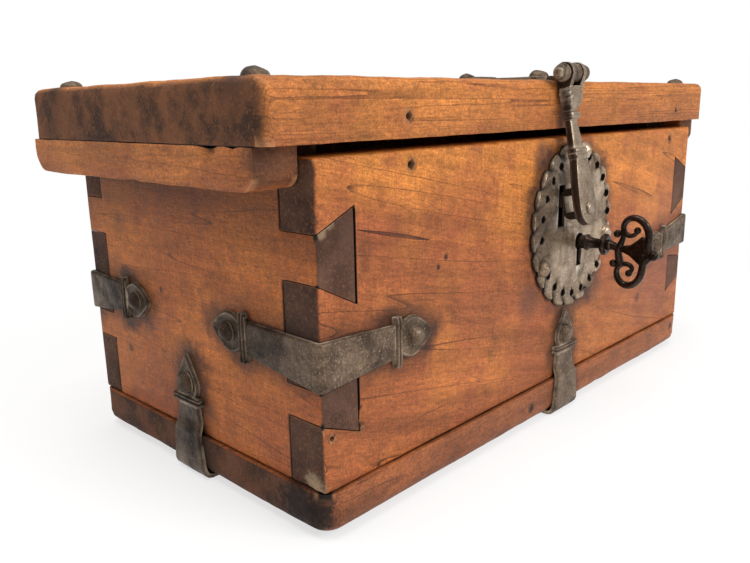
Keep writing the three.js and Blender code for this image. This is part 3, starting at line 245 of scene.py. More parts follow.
def forged_iron(name, dark, light, rust, rubbed_colour, metallic, roughness, shade_and_stain_patches=(),
                shade_away_from=None):
    """Hand forged iron under an old brown patina: hammer marks about 9 mm across, specks and
    pits of 1 mm, rust in the hollows and bright rubbed edges. The last argument is a direction,
    and the sides that face away from it are painted dark as shade."""
    material, tree = new_material(name)
    place = add_node(tree, "TexCoord")
    spot = place.outputs["Object"]
    hammer, pits, patina = [
        add_node(tree, "TexNoise", {}, {
            "Scale": scale, "Detail": detail, "Roughness": rough, "Vector": spot})
        for scale, detail, rough in ((110, 3, 0.5), (850, 5, 0.75), (60, 7, 0.68))]
    edge, scale_and_shade = [add_node(tree, "Attribute", {"attribute_name": attribute}).outputs["Fac"]
                    for attribute in ("edge", "scale_and_shade")]
    # Patina, rust in the pits, bright specks, how patchy the painted shade and stains are, and
    # rubbed edges
    tone, pit_tone, speck, patchy, rubbed = [
        add_node(tree, "MapRange", {}, {
            "Value": source, "From Min": start, "From Max": end, "To Min": least,
            "To Max": most})
        for source, start, end, least, most in (
            (patina, 0.36, 0.66, 0, 1), (pits, 0.5, 0.68, 0, 0.8), (pits, 0.42, 0.3, 0, 0.6),
            (patina, 0.3, 0.55, 1.0, 0.7), (edge, 0.03, 0.2, 0, 0.8))]
    colour = add_node(tree, "Mix", MIX, {0: tone, 6: linear(dark), 7: linear(light)})
    coats = [(pit_tone, linear(rust), MIX), (speck, linear(rubbed_colour), MIX)]
    # Dark patches: painted shade on the left face's straps and on the plate's left side, and a rust
    # stain on the plate between its hasp slot and keyhole
    for centre, reach, strength in shade_and_stain_patches:
        away = add_node(tree, "VectorMath", {"operation": "DISTANCE"}, {0: spot, 1: centre})
        share = add_node(tree, "MapRange", SMOOTH, {
            "Value": away, "From Min": reach * 0.3, "From Max": reach, "To Min": strength,
            "To Max": 0.0})
        share = add_node(tree, "Math", MULTIPLY, {0: share, 1: patchy})
        coats.append((share, linear("8C7862"), TINT))
    # Filed hollows and the punched holes keep their black scale; the plate's low outer side, in the
    # same mask, is painted black as shade
    coats.append((scale_and_shade, linear("19110C"), MIX))
    # Sides that face away from the given direction are painted dark as shade
    if shade_away_from:
        toward = add_node(tree, "VectorMath", {"operation": "DOT_PRODUCT"}, {
            0: place.outputs["Normal"], 1: shade_away_from})
        side = add_node(tree, "MapRange", SMOOTH, {
            "Value": toward, "From Min": 0.1, "From Max": 0.6, "To Min": 0.92, "To Max": 0.0})
        coats.append((side, linear("241A14"), MIX))
    raised = add_node(tree, "Math", {"operation": "SUBTRACT"}, {0: tone, 1: scale_and_shade})
    rubbed_share = add_node(tree, "Math", {"operation": "MULTIPLY", "use_clamp": True}, {
        0: rubbed, 1: raised})
    coats.append((rubbed_share, linear(rubbed_colour), MIX))
    for covers, coat, mixing in coats:
        colour = add_node(tree, "Mix", mixing, {0: covers, 6: colour, 7: coat})
    shine = add_node(tree, "MapRange", {}, {
        "Value": tone, "To Min": roughness + 0.14, "To Max": roughness - 0.16})
    # Black scale and the painted shade on the plate's low side are dull, and no metal shows through
    # them
    dulled = add_node(tree, "Math", CLAMPED_PRODUCT, {0: scale_and_shade, 1: 0.4, 2: shine})
    bare = add_node(tree, "Math", ADD_PRODUCT, {0: scale_and_shade, 1: -metallic, 2: metallic})
    pit_bump = add_node(tree, "Bump", {}, {"Strength": 0.5, "Distance": 0.0003, "Height": pits})
    hammer_bump = add_node(tree, "Bump", {}, {
        "Strength": 0.7, "Distance": 0.0014, "Height": hammer, "Normal": pit_bump})
    shader = add_node(tree, "BsdfPrincipled", {}, {
        "Metallic": bare, "Base Color": colour, "Roughness": dulled,
        "Specular IOR Level": 0.3, "Normal": hammer_bump})
    add_node(tree, "OutputMaterial", {}, {"Surface": shader})
    return material


# Old nail holes, plugs, knocks, scrapes and a patch of painted shade: the place in the drawing,
# its reach, its strength and its colour
FRONT_HOLES = [(70.6, 192.4), (411.0, 191.2)]
LID_HOLES = [(68.9, 217.8), (419.2, 215.0)]
DARK, BROWN, PALE, BLUE = "1C120D", "3A2016", "B49B7C", "38292A"


def spots_at(*spots):
    return [(at(x, y, z), reach, strength, tint) for x, y, z, reach, strength, tint in spots]


front_spots = spots_at(
    *[(x, 0, z, 0.0058, 0.9, BROWN) for x, z in FRONT_HOLES],
    (6.5, 0, 55.5, 0.0035, 0.95, DARK), (27, 0, 56, 0.0042, 0.95, DARK),
    (27.5, 0, 66, 0.0025, 0.9, DARK), (100.8, 0, 137, 0.0028, 0.9, DARK),
    (93.9, 0, 132, 0.0024, 0.9, DARK), (366.5, 0, 58.8, 0.006, 0.8, BROWN),
    (0, 9, 28, 0.009, 0.6, PALE), (34, 0, 152, 0.009, 0.4, BROWN),
    (34, 0, 143, 0.006, 0.4, BROWN), (60, 0, 160, 0.012, 0.25, BROWN),
    (192, 0, 92, 0.018, 0.5, BLUE), (286, 0, 84, 0.018, 0.5, BLUE),
    (204, 0, 190, 0.014, 0.55, BLUE), (299, 0, 150, 0.012, 0.4, BLUE),
    (400, 0, 90, 0.09, 0.35, "7E4C40"))
side_spots = spots_at(
    (4, 0, 164, 0.0045, 0.4, PALE), (9, 0, 168, 0.0045, 0.4, PALE),
    (14, 0, 172, 0.004, 0.35, PALE), (0, 149, 113, 0.003, 0.8, DARK),
    (0, 196, 64, 0.0045, 0.7, DARK))
lid_spots = spots_at(*[(x, 0, z, 0.0055, 0.9, BROWN) for x, z in LID_HOLES])
base_spots = spots_at(
    (196, -2.5, 12, 0.0045, 0.9, DARK), (437, -2.5, 17, 0.0045, 0.9, DARK),
    (-2.5, 18, 14, 0.024, 0.9, DARK), (-2.5, 3, 12, 0.014, 0.85, DARK),
    (2, -2.5, 21, 0.008, 0.6, DARK))
# The brown patch at the batten's front top edge is painted shade of the gap under the lid
batten_spots = spots_at((-28, 4, 205, 0.020, 0.7, BROWN), (-28, 43, 207, 0.006, 0.9, DARK))

front_pine = old_pine("waxed_pine_front", "x", "C67A35", "98552C", "713821",
                      (34, 8.0, 0.05, 1.0), front_spots, (0.121, 0.184), math.radians(-13))
side_pine = old_pine("waxed_pine_sides", "y", "BC6E2E", "9A532A", "6F3A20",
                     (36, 8.0, 0.05, 0.75), side_spots, dust_and_shade_top=0.7,
                     end_tints=("3E2B23", "5C4337"))
lid_pine = old_pine("waxed_pine_lid", "x", "BE7536", "A26030", "7A4023",
                    (150, 10.0, 0.35, 0.7), lid_spots, (0.2, 0.24), streaks=0.03,
                    end_tints=("2E1E17", "6E452C"))
base_pine = old_pine("waxed_pine_base", "x", "9C5A31", "7C472A", "5A3321",
                     (60, 6.0, 0.08, 0.75), base_spots, (-0.01, 0.03), streaks=0.02,
                     end_tints=("2A1A12", "5E3A26"))
batten_pine = old_pine("waxed_pine_battens", "y", "B87036", "96552C", "6A3B22",
                       (60, 5.0, 0.06, 0.6), batten_spots, (0.18, 0.21), streaks=0.02,
                       end_dark=0.7)
# The strap iron's three dark patches lie on the straps of the left face: painted shade
strap_iron = forged_iron("wrought_iron_brown_patina", "403226", "7C6651", "352319", "D8C8B0",
                         0.35, 0.46, [(at(-12, 55, 99), 0.064, 1.0),
                                      (at(-12, 123, 40), 0.058, 1.0),
                                      (at(-12, 195, 100), 0.06, 1.0)])
# The plate's two dark patches on its left side are painted shade; the one between the hasp slot and
# the keyhole is a rust stain
plate_iron = forged_iron("wrought_iron_rubbed_plate", "705C46", "C2AC93", "4A3324", "F6EBD8",
                         0.55, 0.36, [(at(196, -3, 156), 0.044, 0.9),
                                      (at(200, -3, 124), 0.036, 0.7),
                                      (at(242, -3, 134), 0.018, 0.8)])
# The hasp's sides that face away from the front are painted dark as shade
hasp_iron = forged_iron("wrought_iron_shade_painted_sides", "6E5D4C", "AE9A83", "4A3527", "EADDC8",
                        0.6, 0.4, (), (0.25, -1, 0.3))
key_iron = forged_iron("forged_iron_black_oxide", "1E1612", "3A2C24", "2A1A14", "8E8074",
                       0.9, 0.3)


# Making and finishing meshes

def only(first, *others):
    """Selects these pieces and nothing else, and makes the first one active."""
    bpy.ops.object.select_all(action="DESELECT")
    for piece in (first, *others):
        piece.select_set(True)
    bpy.context.view_layer.objects.active = first


def added(primitive, **how):
    """A new primitive, with nothing else selected."""
    bpy.ops.object.select_all(action="DESELECT")
    primitive(**how)
    return bpy.context.object


def settled(*pieces):
    """Puts the places, turns and sizes of pieces into their meshes."""
    only(*pieces)
    bpy.ops.object.transform_apply(location=True, rotation=True, scale=True)
    return pieces[0]


def edit(piece):
    """Opens a piece in edit mode with all of it selected."""
    only(piece)
    bpy.ops.object.mode_set(mode="EDIT")
    bpy.ops.mesh.select_all(action="SELECT")


def joined(first, *others):
    only(first, *others)
    bpy.ops.object.join()
    return first


def in_scene(name, data):
    """A new object in the scene, for a mesh, a light or a camera."""
    made = bpy.data.objects.new(name, data)
    bpy.context.scene.collection.objects.link(made)
    return made


def copy_of(node, name):
    """A copy of a CAD node with its corners merged and its flat faces joined."""
    piece = in_scene(name, frame["nodes"][node].data.copy())
    piece.data.materials.clear()
    edit(piece)
    bpy.ops.mesh.remove_doubles(threshold=0.00001)
    bpy.ops.mesh.customdata_custom_splitnormals_clear()
    bpy.ops.mesh.dissolve_limited(angle_limit=math.radians(0.6))
    bpy.ops.object.mode_set(mode="OBJECT")
    return piece


def cut_away(piece, place, direction):
    """Cuts off and closes what lies past a plane, on the side that the direction points to."""
    edit(piece)
    bpy.ops.mesh.bisect(plane_co=place, plane_no=direction, clear_outer=True, use_fill=True)
    bpy.ops.object.mode_set(mode="OBJECT")


def sharper(degrees):
    """A test for edges where the faces turn by more than this."""
    return lambda e: e.calc_face_angle(0) > math.radians(degrees)


def bevel_where(piece, test, width, segments=2):
    """Bevels the edges that pass the test."""
    edit(piece)
    mesh = bmesh.from_edit_mesh(piece.data)
    bpy.ops.mesh.select_mode(type="EDGE")
    bpy.ops.mesh.select_all(action="DESELECT")
    for e in mesh.edges:
        if len(e.link_faces) == 2 and test(e):
            e.select_set(True)
    bmesh.update_edit_mesh(piece.data)
    bpy.ops.mesh.bevel(offset=width, segments=segments, affect="EDGES", clamp_overlap=True)
    bpy.ops.object.mode_set(mode="OBJECT")


def grid(piece, step):
    """Cuts a mesh across every few millimetres, so that wear and stains have points to use."""
    only(piece)
    low, high = Vector(piece.bound_box[0]), Vector(piece.bound_box[6])
    off_the_faces = 0.000013
    bpy.ops.object.mode_set(mode="EDIT")
    for k in range(3):
        normal = Vector([1 if i == k else 0 for i in range(3)])
        count = max(1, round((high[k] - low[k]) / step))
        for i in range(1, count):
            place = low.copy()
            place[k] = low[k] + (high[k] - low[k]) * i / count + off_the_faces
            bpy.ops.mesh.select_all(action="SELECT")
            bpy.ops.mesh.bisect(plane_co=place, plane_no=normal)
    bpy.ops.object.mode_set(mode="OBJECT")


def modified(piece, kind, **settings):
    """Gives a piece a modifier and applies it."""
    only(piece)
    modifier = piece.modifiers.new(kind, kind)
    for name, value in settings.items():
        setattr(modifier, name, value)
    bpy.ops.object.modifier_apply(modifier=modifier.name)


def uneven(piece, size, depth, name):
    """Pushes the surface in and out by a slow noise, as wear and the hammer do."""
    texture = bpy.data.textures.get(name) or bpy.data.textures.new(name, "CLOUDS")
    texture.noise_scale = size
    modified(piece, "DISPLACE", texture=texture, texture_coords="LOCAL", strength=depth,
             mid_level=0.5)


def cut_out(piece, cutters):
    """Takes the cutters' shapes out of a piece and removes them."""
    if len(cutters) > 1:
        joined(*cutters)
    modified(piece, "BOOLEAN", operation="DIFFERENCE", solver="EXACT", object=cutters[0])
    bpy.data.objects.remove(cutters[0])


def torn_hole(place, reach, seed):
    """A cutter for the torn hole of a pulled nail, driven in along y."""
    chance = random.Random(seed)
    cutter = added(bpy.ops.mesh.primitive_cone_add, vertices=11, radius1=reach * mm,
                   radius2=reach * 0.3 * mm, depth=CUTTER_DEPTH * mm, location=(0, 0, 0))
    for v in cutter.data.vertices:
        share = chance.uniform(0.62, 1.3)
        v.co.x, v.co.y = v.co.x * share * 0.85, v.co.y * share
    cutter.location, cutter.rotation_euler = place, (-math.pi / 2, 0, 0)
    return settled(cutter)


def rolled(name, skin):
    """A closed piece from a flat grid. Each row of the skin is a ring round the section, in the
    drawing's millimetres, and the rows run along the piece."""
    points = np.asarray(skin, float) * mm + np.array(CORNER)
    rows, ring = points.shape[:2]
    piece = added(bpy.ops.mesh.primitive_grid_add, x_subdivisions=ring,
                  y_subdivisions=rows - 1, size=2)
    piece.name = name
    flat = np.empty(len(piece.data.vertices) * 3)
    piece.data.vertices.foreach_get("co", flat)
    flat = flat.reshape(-1, 3)
    across = np.rint((flat[:, 0] + 1) / 2 * ring).astype(int) % ring
    along = np.rint((flat[:, 1] + 1) / 2 * (rows - 1)).astype(int)
    piece.data.vertices.foreach_set("co", points[along, across].ravel())
    edit(piece)
    bpy.ops.mesh.remove_doubles(threshold=0.000002)
    bpy.ops.mesh.fill_holes(sides=0)
    bpy.ops.mesh.select_all(action="SELECT")
    bpy.ops.mesh.normals_make_consistent(inside=False)
    bpy.ops.object.mode_set(mode="OBJECT")
    return piece


def set_attribute(piece, name, values):
    attribute = piece.data.attributes.get(name) or piece.data.attributes.new(
        name, "FLOAT", "POINT")
    attribute.data.foreach_set("value", np.asarray(values, np.float32))


def mark_edges(piece):
    """How sharp the surface is at each point: 0 where flat, more on an edge."""
    mesh = piece.data
    sums = np.zeros((len(mesh.vertices), 3))
    counts = np.zeros(len(mesh.vertices))
    for face in mesh.polygons:
        for v in face.vertices:
            sums[v] += face.normal
            counts[v] += 1
    length = np.linalg.norm(sums, axis=1) / np.maximum(counts, 1)
    set_attribute(piece, "edge", np.clip(1 - length, 0, 1))


def finish_piece(piece, node, material, smooth):
    """Gives a piece its material and smooth faces up to an angle. It rides with the node that
    it replaces."""
    only(piece)
    piece.data.materials.clear()
    piece.data.materials.append(material)
    for polygon in piece.data.polygons:
        polygon.material_index = 0
    bpy.ops.object.shade_smooth_by_angle(angle=math.radians(smooth))
    mark_edges(piece)
    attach(piece, BODY_OF[node])
    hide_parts(node)


BODIES = frame["record"]["behaviour"]["bodies"]
BODY_OF = {node: body for body, nodes in BODIES.items() for node in nodes}
WOOD = ("front_board", "back_board", "left_side_board", "right_side_board", "base_board",
        "lid_board", "left_batten", "right_batten")
HIDDEN = ("lock_back_plate", "lock_key_post", "lock_ward", "bolt_spring", "bolt", "key",
          "key_collar", "hasp_arm", "hasp_staple")


# The way out of the face that a fitting lies on, by a word of its name
FRONT, BACK = Vector((0, -1, 0)), Vector((0, 1, 0))
LEFT, RIGHT, UP = Vector((-1, 0, 0)), Vector((1, 0, 0)), Vector((0, 0, 1))
WAY_OUT = {"front": FRONT, "lock": FRONT, "back": BACK, "box": BACK, "left": LEFT,
           "right": RIGHT, "lid": UP}


# The boards

# How close to a joint its dirt is, how far from iron the wood is stained, and how deep a torn
# nail hole is dark
SEAM = 0.3 * mm
STAIN_REACH = 50 * mm
HOLE_DEPTH = 3.4 * mm


def surfaces(nodes):
    """The faces of some CAD nodes together, to measure how far a point is from them."""
    points, faces = [], []
    for node in nodes:
        mesh = frame["nodes"][node].data
        start = len(points)
        points += [v.co.copy() for v in mesh.vertices]
        faces += [[start + v for v in p.vertices] for p in mesh.polygons]
    return BVHTree.FromPolygons(points, faces)


IRON = surfaces([node for node in frame["nodes"] if node not in WOOD + HIDDEN])


def board(node, material, edge_width, wobble, step=6, holes=(), chips=()):
    """A board with worn edges, eased joints, old holes and chips, no longer quite flat. A hole
    is its place and reach. A chip is its place, its reach and its push inwards, in one row."""
    piece = copy_of(node, node + "_wood")
    low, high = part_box(node)
    near = 0.0004

    sharp = sharper(40)

    def sides_of(e):
        return [k for k in range(3) for side in (low[k], high[k])
                if all(abs(v.co[k] - side) < near for v in e.verts)]

    bevel_where(piece, lambda e: sharp(e) and len(sides_of(e)) >= 2, edge_width * mm, 3)
    bevel_where(piece, lambda e: sharp(e) and len(sides_of(e)) == 1 and e.calc_length() > 3 * mm,
                0.5 * mm, 1)
    grid(piece, step * mm)
    others = surfaces([w for w in WOOD if w != node and BODY_OF[w] == BODY_OF[node]])
    in_seam = [others.find_nearest(v.co)[3] < SEAM for v in piece.data.vertices]
    set_attribute(piece, "seam", in_seam)
    uneven(piece, 0.05, wobble * mm, "slow_wear")
    uneven(piece, 0.012, wobble * 0.35 * mm, "small_dents")
    for x, y, z, reach, *push in chips:
        centre, push = at(x, y, z), Vector(push) * mm
        for v in piece.data.vertices:
            share = 1 - (v.co - centre).length / (reach * mm)
            if share > 0:
                v.co += push * share ** 0.7
    if holes:
        cut_out(piece, [torn_hole(at(*place), reach, seed)
                        for seed, (place, reach) in enumerate(holes)])
        dark = piece.data.attributes["seam"].data
        for place, reach in holes:
            centre = at(*place)
            for v in piece.data.vertices:
                away = math.hypot(v.co.x - centre.x, v.co.z - centre.z)
                if away < reach * 1.4 * mm and v.co.y > centre.y - HOLE_DEPTH:
                    dark[v.index].value = 1
    distances = [min(IRON.find_nearest(v.co)[3], STAIN_REACH) for v in piece.data.vertices]
    set_attribute(piece, "iron_near", distances)
    finish_piece(piece, node, material, 35)


board("front_board", front_pine, 2.0, 0.6, 4,
      [((x, 4, z), 3.4) for x, z in FRONT_HOLES] + [((6.5, 4, 55.5), 2.0), ((27, 4, 56), 1.9)],
      [(0, 0, 193, 6, 2.4, 0.9, 0), (0, 0, 170, 5, 1.6, 1.2, 0), (0, 0, 160, 4, 1.5, 0.6, 0),
       (0, 0, 142, 4, 1, 1.3, 0), (33, 0, 139, 4, 0, 1.1, 0), (27, 0, 62, 4, 0, 1.2, 0),
       (0, 14, 27, 7, 1.2, 0, 0), (0, 0, 182, 6, 2, 1.5, 0), (0, 0, 150, 5, 1.5, 0.9, 0),
       (0, 0, 30, 8, 1.5, 1.4, 0), (0, 0, 72, 5, 0.8, 0.8, 0), (150, 0, 200, 6, 0, 0.6, -0.9),
       (262, 0, 200, 5, 0, 0.5, -0.8)])
board("back_board", front_pine, 2.0, 0.6)
board("left_side_board", side_pine, 2.0, 0.6)
board("right_side_board", side_pine, 2.0, 0.6)
board("base_board", base_pine, 1.0, 1.6, 6, (),
      [(-2.5, 8, 22, 9, 1.5, 0.6, -1.2), (8, -2.5, 23, 9, 0, 1.4, -1.5),
       (60, -2.5, 25, 5, 0, 0.6, -0.8), (-2.5, 120, 2, 8, 1, 0, 0.8),
       (300, -2.5, 1, 8, 0, 0.9, 0.7)])
board("lid_board", lid_pine, 1.0, 1.4, 6,
      [((x, 4, z), 3.0) for x, z in LID_HOLES],
      [(-28, 20, 238, 8, 0.8, 0, -1.2), (-28, 90, 238, 9, 0.8, 0, -1.1),
       (-20, 0, 238, 9, 0, 0.8, -1.2), (90, 0, 238, 7, 0, 0.5, -0.8)])
board("left_batten", batten_pine, 3.0, 1.6, 5, (),
      [(-28, 43, 206, 8, 1.8, 0, -1.6), (-28, 120, 186, 9, 0.9, 0, 0.9),
       (-28, 24, 206, 5, 0.9, 0, -1)])
board("right_batten", batten_pine, 3.0, 1.6)


# Straps: a band, two ridges across it and a leaf with a raised rim

# The length of a leaf and its collar, and half the width of a band at its neck and its root
LEAF = 27.0
COLLAR = 5.0
NECK = 9.75
ROOT = 13.25
FAR_FROM_TIP = 200
ACROSS = np.array([-1, -0.975, -0.94, -0.89, -0.82, -0.72, -0.5, -0.25, 0,
                   0.25, 0.5, 0.72, 0.82, 0.89, 0.94, 0.975, 1])
# Distances from the tip, and half the width there
LEAF_SHAPES = {
    "broad": ([0, 0.8, 2, 5, 9, 13, 16.5, 20, 24, 27],
              [0.5, 1.9, 3.4, 6.3, 9.4, 11.5, 12.2, 11.7, 9.9, 8.2]),
    "spear": ([0, 1, 3, 7, 12, 16, 19, 22, 25, 27],
              [0.5, 1.3, 2.6, 5.0, 8.2, 10.6, 11.4, 11.2, 9.9, 8.6])}
# Where the two ridges are, half their thickness and their reach to each side
BARS = (28.3, 30.75)
BAR_HALF = 1.15
BAR_REACH = 13.6
BAR_END = 0.9


def leaf_and_collar(shape, neck):
    """Stations from a strap's tip to the end of its collar: the distance and half the width."""
    lengths, halves = LEAF_SHAPES[shape]
    stations = [(t, float(np.interp(t, lengths, halves))) for t in (
        0, 0.3, 0.8, 1.5, 2.3, 3.3, 4.5, 6, 7.5, 9, 10.5, 12, 13.5, 15, 16.5, 18, 19.5, 21, 22.5,
        24, 25.3, 26.4, 27.1)]
    for middle in BARS:
        for share in (-1, -0.93, -0.75, -0.45, 0, 0.45, 0.75, 0.93, 1):
            round_end = math.sqrt(1 - share * share)
            stations.append((middle + share * BAR_HALF, BAR_REACH + BAR_END * round_end))
    stations.append((LEAF + COLLAR + 0.05, neck))
    return stations


def strap_height(t, v, half):
    """How high the iron stands over its seat, from the distance to the tip and the place across."""
    for middle in BARS:
        share = (t - middle) / BAR_HALF
        if abs(share) <= 1.001:
            return 2.7 + 1.9 * math.sqrt(max(0, 1 - share * share)) - 0.5 * abs(v) ** 8
    edge = (1 - abs(v)) * half
    worn = 0.9 * max(0, 1 - edge / 1.1) ** 2
    if t < LEAF:
        edge = min(edge, t * 0.75 + 0.05)
        rim = math.exp(-((edge - 1.5) / 0.95) ** 2)
        return 2.15 + 0.85 * rim - 0.7 * max(0, 1 - edge / 0.9)
    return STRAP_THICKNESS + 0.15 * (1 - v * v) - worn


def strap_skin(stations):
    """Rows round a strap from stations: distance to the tip, half the width, the seat's point,
    the way out of the seat and the way across."""
    skin = []
    for t, half, seat, out, across in stations:
        row = [seat + across * (v * half) + out * strap_height(t, v, half) for v in ACROSS]
        row += [seat + across * (v * half) + out * 0.1 for v in (1, 0, -1)]
        skin.append([tuple(p) for p in row])
    return skin


def hammered(piece, depth=0.35):
    uneven(piece, 0.009, depth * mm, "hammer_marks")
    uneven(piece, 0.0035, depth * 0.5 * mm, "small_marks")


def leg(root, step, length, out, across, neck, width):
    """A straight leg's stations, from its tip down to its root. The step is one millimetre of
    the way to the tip."""
    stations = leaf_and_collar("broad", neck)
    start, stop = LEAF + COLLAR, length - 0.6
    t = start + 1.5
    while t < stop:
        stations.append((t, neck + (width - neck) * (t - start) / (length - start)))
        t += 2.5
    stations.append((stop, width))
    return [(t, half, root + step * (length - t), out, across) for t, half in stations]


# Corner, length along x and its rise, length along y and its rise, height at the corner
CORNER_STRAPS = {
    "front_left_corner_strap": ((0, 0), 85, 1, 90, 6, 96.05),
    "front_right_corner_strap": ((BODY_LENGTH, 0), -76, -10, 82, -6, 107.95),
    "back_left_corner_strap": ((0, BODY_DEPTH), 82, 1, -76, 2, 99.55),
    "back_right_corner_strap": ((BODY_LENGTH, BODY_DEPTH), -80, 2, -78, -2, 100.95),
}


def corner_strap(node, corner, along_x, rise_x, along_y, rise_y, z):
    """A strap bent round a corner of the box, with a leaf at each end."""
    root = Vector((*corner, z))
    way_x = Vector((math.copysign(1, along_x), 0, 0))
    way_y = Vector((0, math.copysign(1, along_y), 0))
    first = leg(root, way_x + UP * (rise_x / abs(along_x)), abs(along_x), -way_y, UP, NECK, ROOT)
    second = leg(root, way_y + UP * (rise_y / abs(along_y)), abs(along_y), -way_x, UP, NECK, ROOT)
    inside = 0.6
    heart = root + (way_x + way_y) * inside
    bend = []
    for i in range(1, 8):
        turn = math.pi / 2 * i / 8
        out = -way_y * math.cos(turn) - way_x * math.sin(turn)
        bend.append((FAR_FROM_TIP, ROOT, heart + out * inside, out, UP))
    piece = rolled(node + "_iron", strap_skin(first + bend + second[::-1]))
    hammered(piece)
    finish_piece(piece, node, strap_iron, 50)


for strap_name, values in CORNER_STRAPS.items():
    corner_strap(strap_name, *values)

# Where the face of each foot strap is, and the middle of the strap
FOOT_STRAPS = {"front": (0, 240.09), "back": (BODY_DEPTH, 227.86), "left": (0, 123.09),
               "right": (BODY_LENGTH, 119.02)}
FOOT_NECK = 10.25
FOOT_WIDTH = 17.0
# Below its leaf and collar: out from the wall, height, and the way out there
FOOT_PATH = [
    (0, 42, 1, 0), (0, 39, 1, 0), (0, 36, 1, 0), (0, 33.5, 1, 0.12), (0.5, 31.6, 0.97, 0.3),
    (1.6, 28.8, 0.93, 0.36), (2.5, 26.9, 0.97, 0.25), (2.8, 25.2, 1, 0.05), (2.8, 22, 1, 0),
    (2.8, 18, 1, 0), (2.8, 14, 1, 0), (2.8, 10, 1, 0), (2.8, 6.5, 1, 0), (2.7, 4, 0.96, -0.28),
    (1.9, 1.9, 0.82, -0.57), (0.6, 0.5, 0.5, -0.87), (-1.2, 0, 0.1, -1), (-5, 0, 0, -1),
    (-15, 0, 0, -1), (-25, 0, 0, -1), (-35, 0, 0, -1), (-45, 0, 0, -1)]


def foot_strap(node, out, face, middle):
    """A strap that runs down a face, steps out over the base and turns under it."""
    side = abs(out.x) > 0
    across = BACK if side else RIGHT
    origin = Vector((face, middle, 0)) if side else Vector((middle, face, 0))
    stations = [(t, half, origin + UP * (FOOT_TOP - t), out, across)
                for t, half in leaf_and_collar("spear", FOOT_NECK)]
    root_z = FOOT_TOP - LEAF - COLLAR
    for forward, z, lean, rise in FOOT_PATH:
        half = FOOT_NECK + (FOOT_WIDTH - FOOT_NECK) * min(1, (root_z - z) / root_z)
        way = (out * lean + UP * rise).normalized()
        stations.append((FAR_FROM_TIP, half, origin + out * forward + UP * z, way, across))
    piece = rolled(node + "_iron", strap_skin(stations))
    hammered(piece)
    for v in piece.data.vertices:
        v.co.z = max(v.co.z, 0)
    finish_piece(piece, node, strap_iron, 50)


for word, values in FOOT_STRAPS.items():
    foot_strap(f"{word}_foot_strap", WAY_OUT[word], *values)


def leaf_with_knuckle(node, place, root, away, out, length, neck, width, knuckle_half=20.0):
    """The part round the pin is kept from the drawing, no wider than it may be to turn. What
    lies past a place, away from the pin, is cut off, and a flat leaf is forged on from its root
    to its tip."""
    knuckle = copy_of(node, node + "_iron")
    middle = at(*place).x
    for v in knuckle.data.vertices:
        v.co.x = middle + max(-knuckle_half * mm, min(knuckle_half * mm, v.co.x - middle))
    cut_away(knuckle, at(*place), away)
    bevel_where(knuckle, sharper(50), 0.5 * mm)
    flat = rolled(node + "_leaf", strap_skin(leg(
        Vector(root), away, length, out, RIGHT, neck, width)))
    hammered(flat, 0.3)
    finish_piece(joined(knuckle, flat), node, strap_iron, 45)


for number, hinge_x in ((1, 99.66), (2, 353.34)):
    leaf_with_knuckle(f"hinge_box_leaf_{number}", (hinge_x, 240, 190),
                      (hinge_x, 239.3, 191.2), -UP, BACK, 56.5, NECK, 13)
    leaf_with_knuckle(f"hinge_lid_leaf_{number}", (hinge_x, 243.5, LID_TOP),
                      (hinge_x, 244.5, LID_TOP), FRONT, UP, 70.5, NECK, 13)
leaf_with_knuckle("lid_strap", (HASP_X, 11, LID_TOP), (HASP_X, 9.5, LID_TOP), BACK, UP, 85.5,
                  9.5, 5.4, 4.6)


# Nails

def nail_head(node, out, material):
    """A hammered dome on its square shank."""
    low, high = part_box(node)
    middle = (low + high) / 2
    k = [abs(v) > 0.5 for v in out].index(True)
    radius = (high[(k + 1) % 3] - low[(k + 1) % 3]) / 2
    length = high[k] - low[k]
    dome = 5.4 * mm
    seat = middle + out * (length / 2 - dome)
    chance = random.Random(node)
    turn = UP.rotation_difference(out).to_matrix().to_4x4()
    turn = turn @ Matrix.Rotation(chance.uniform(0, 6.28), 4, "Z")
    piece = added(bpy.ops.mesh.primitive_uv_sphere_add, segments=24, ring_count=16, radius=radius)
    piece.name = node + "_head"
    edit(piece)
    bpy.ops.mesh.bisect(plane_co=(0, 0, 0), plane_no=(0, 0, 1), clear_inner=True, use_fill=True)
    bpy.ops.object.mode_set(mode="OBJECT")
    facets = []
    for _ in range(6):
        tilt = Vector((chance.uniform(-0.7, 0.7), chance.uniform(-0.7, 0.7), 1)).normalized()
        facets.append((tilt, chance.uniform(0.84, 0.94)))
    for v in piece.data.vertices:
        unit = v.co / radius
        for tilt, reach in facets:
            over = unit.dot(tilt) - reach
            if over > 0:
                unit -= tilt * over * 0.85
        rim = 0.95 + 0.05 * math.sin(3 * math.atan2(unit.y, unit.x) + radius * 9000)
        v.co = Vector((unit.x * radius * rim, unit.y * radius * rim, unit.z * dome))
    shank = length - dome
    joined(piece, added(bpy.ops.mesh.primitive_cone_add, vertices=4, radius1=1 * mm,
                        radius2=2.8 * mm, depth=shank, location=(0, 0, 0.5 * mm - shank / 2)))
    piece.data.transform(Matrix.Translation(seat) @ turn)
    finish_piece(piece, node, material, 35)


for nail_name in [n for n in frame["nodes"] if "_nail" in n]:
    words = nail_name.split("_")
    # A hinge leaf's second word tells where it is, and a corner strap's where its nail b is
    word = words[1] if words[0] == "hinge" or words[-1] == "b" else words[0]
    nail_head(nail_name, WAY_OUT[word], plate_iron if word == "lock" else strap_iron)


# The lock plate: a sheet with a rim of filed, slanting lobes and a ring of punched holes

# The turn from lobe to lobe, how far a lobe leans over its length, where its crest starts and
# how fast it sinks inwards. Where the hasp shuts on the rim, the lobes are lower.
PITCH = math.pi * 2 / PLATE_LOBES
LOBE_LEAN = 0.6
CREST_FOOT = 0.93
RIM_FADE = 1.2
HASP_ROOM = 14
LOW_LOBE = 2.3


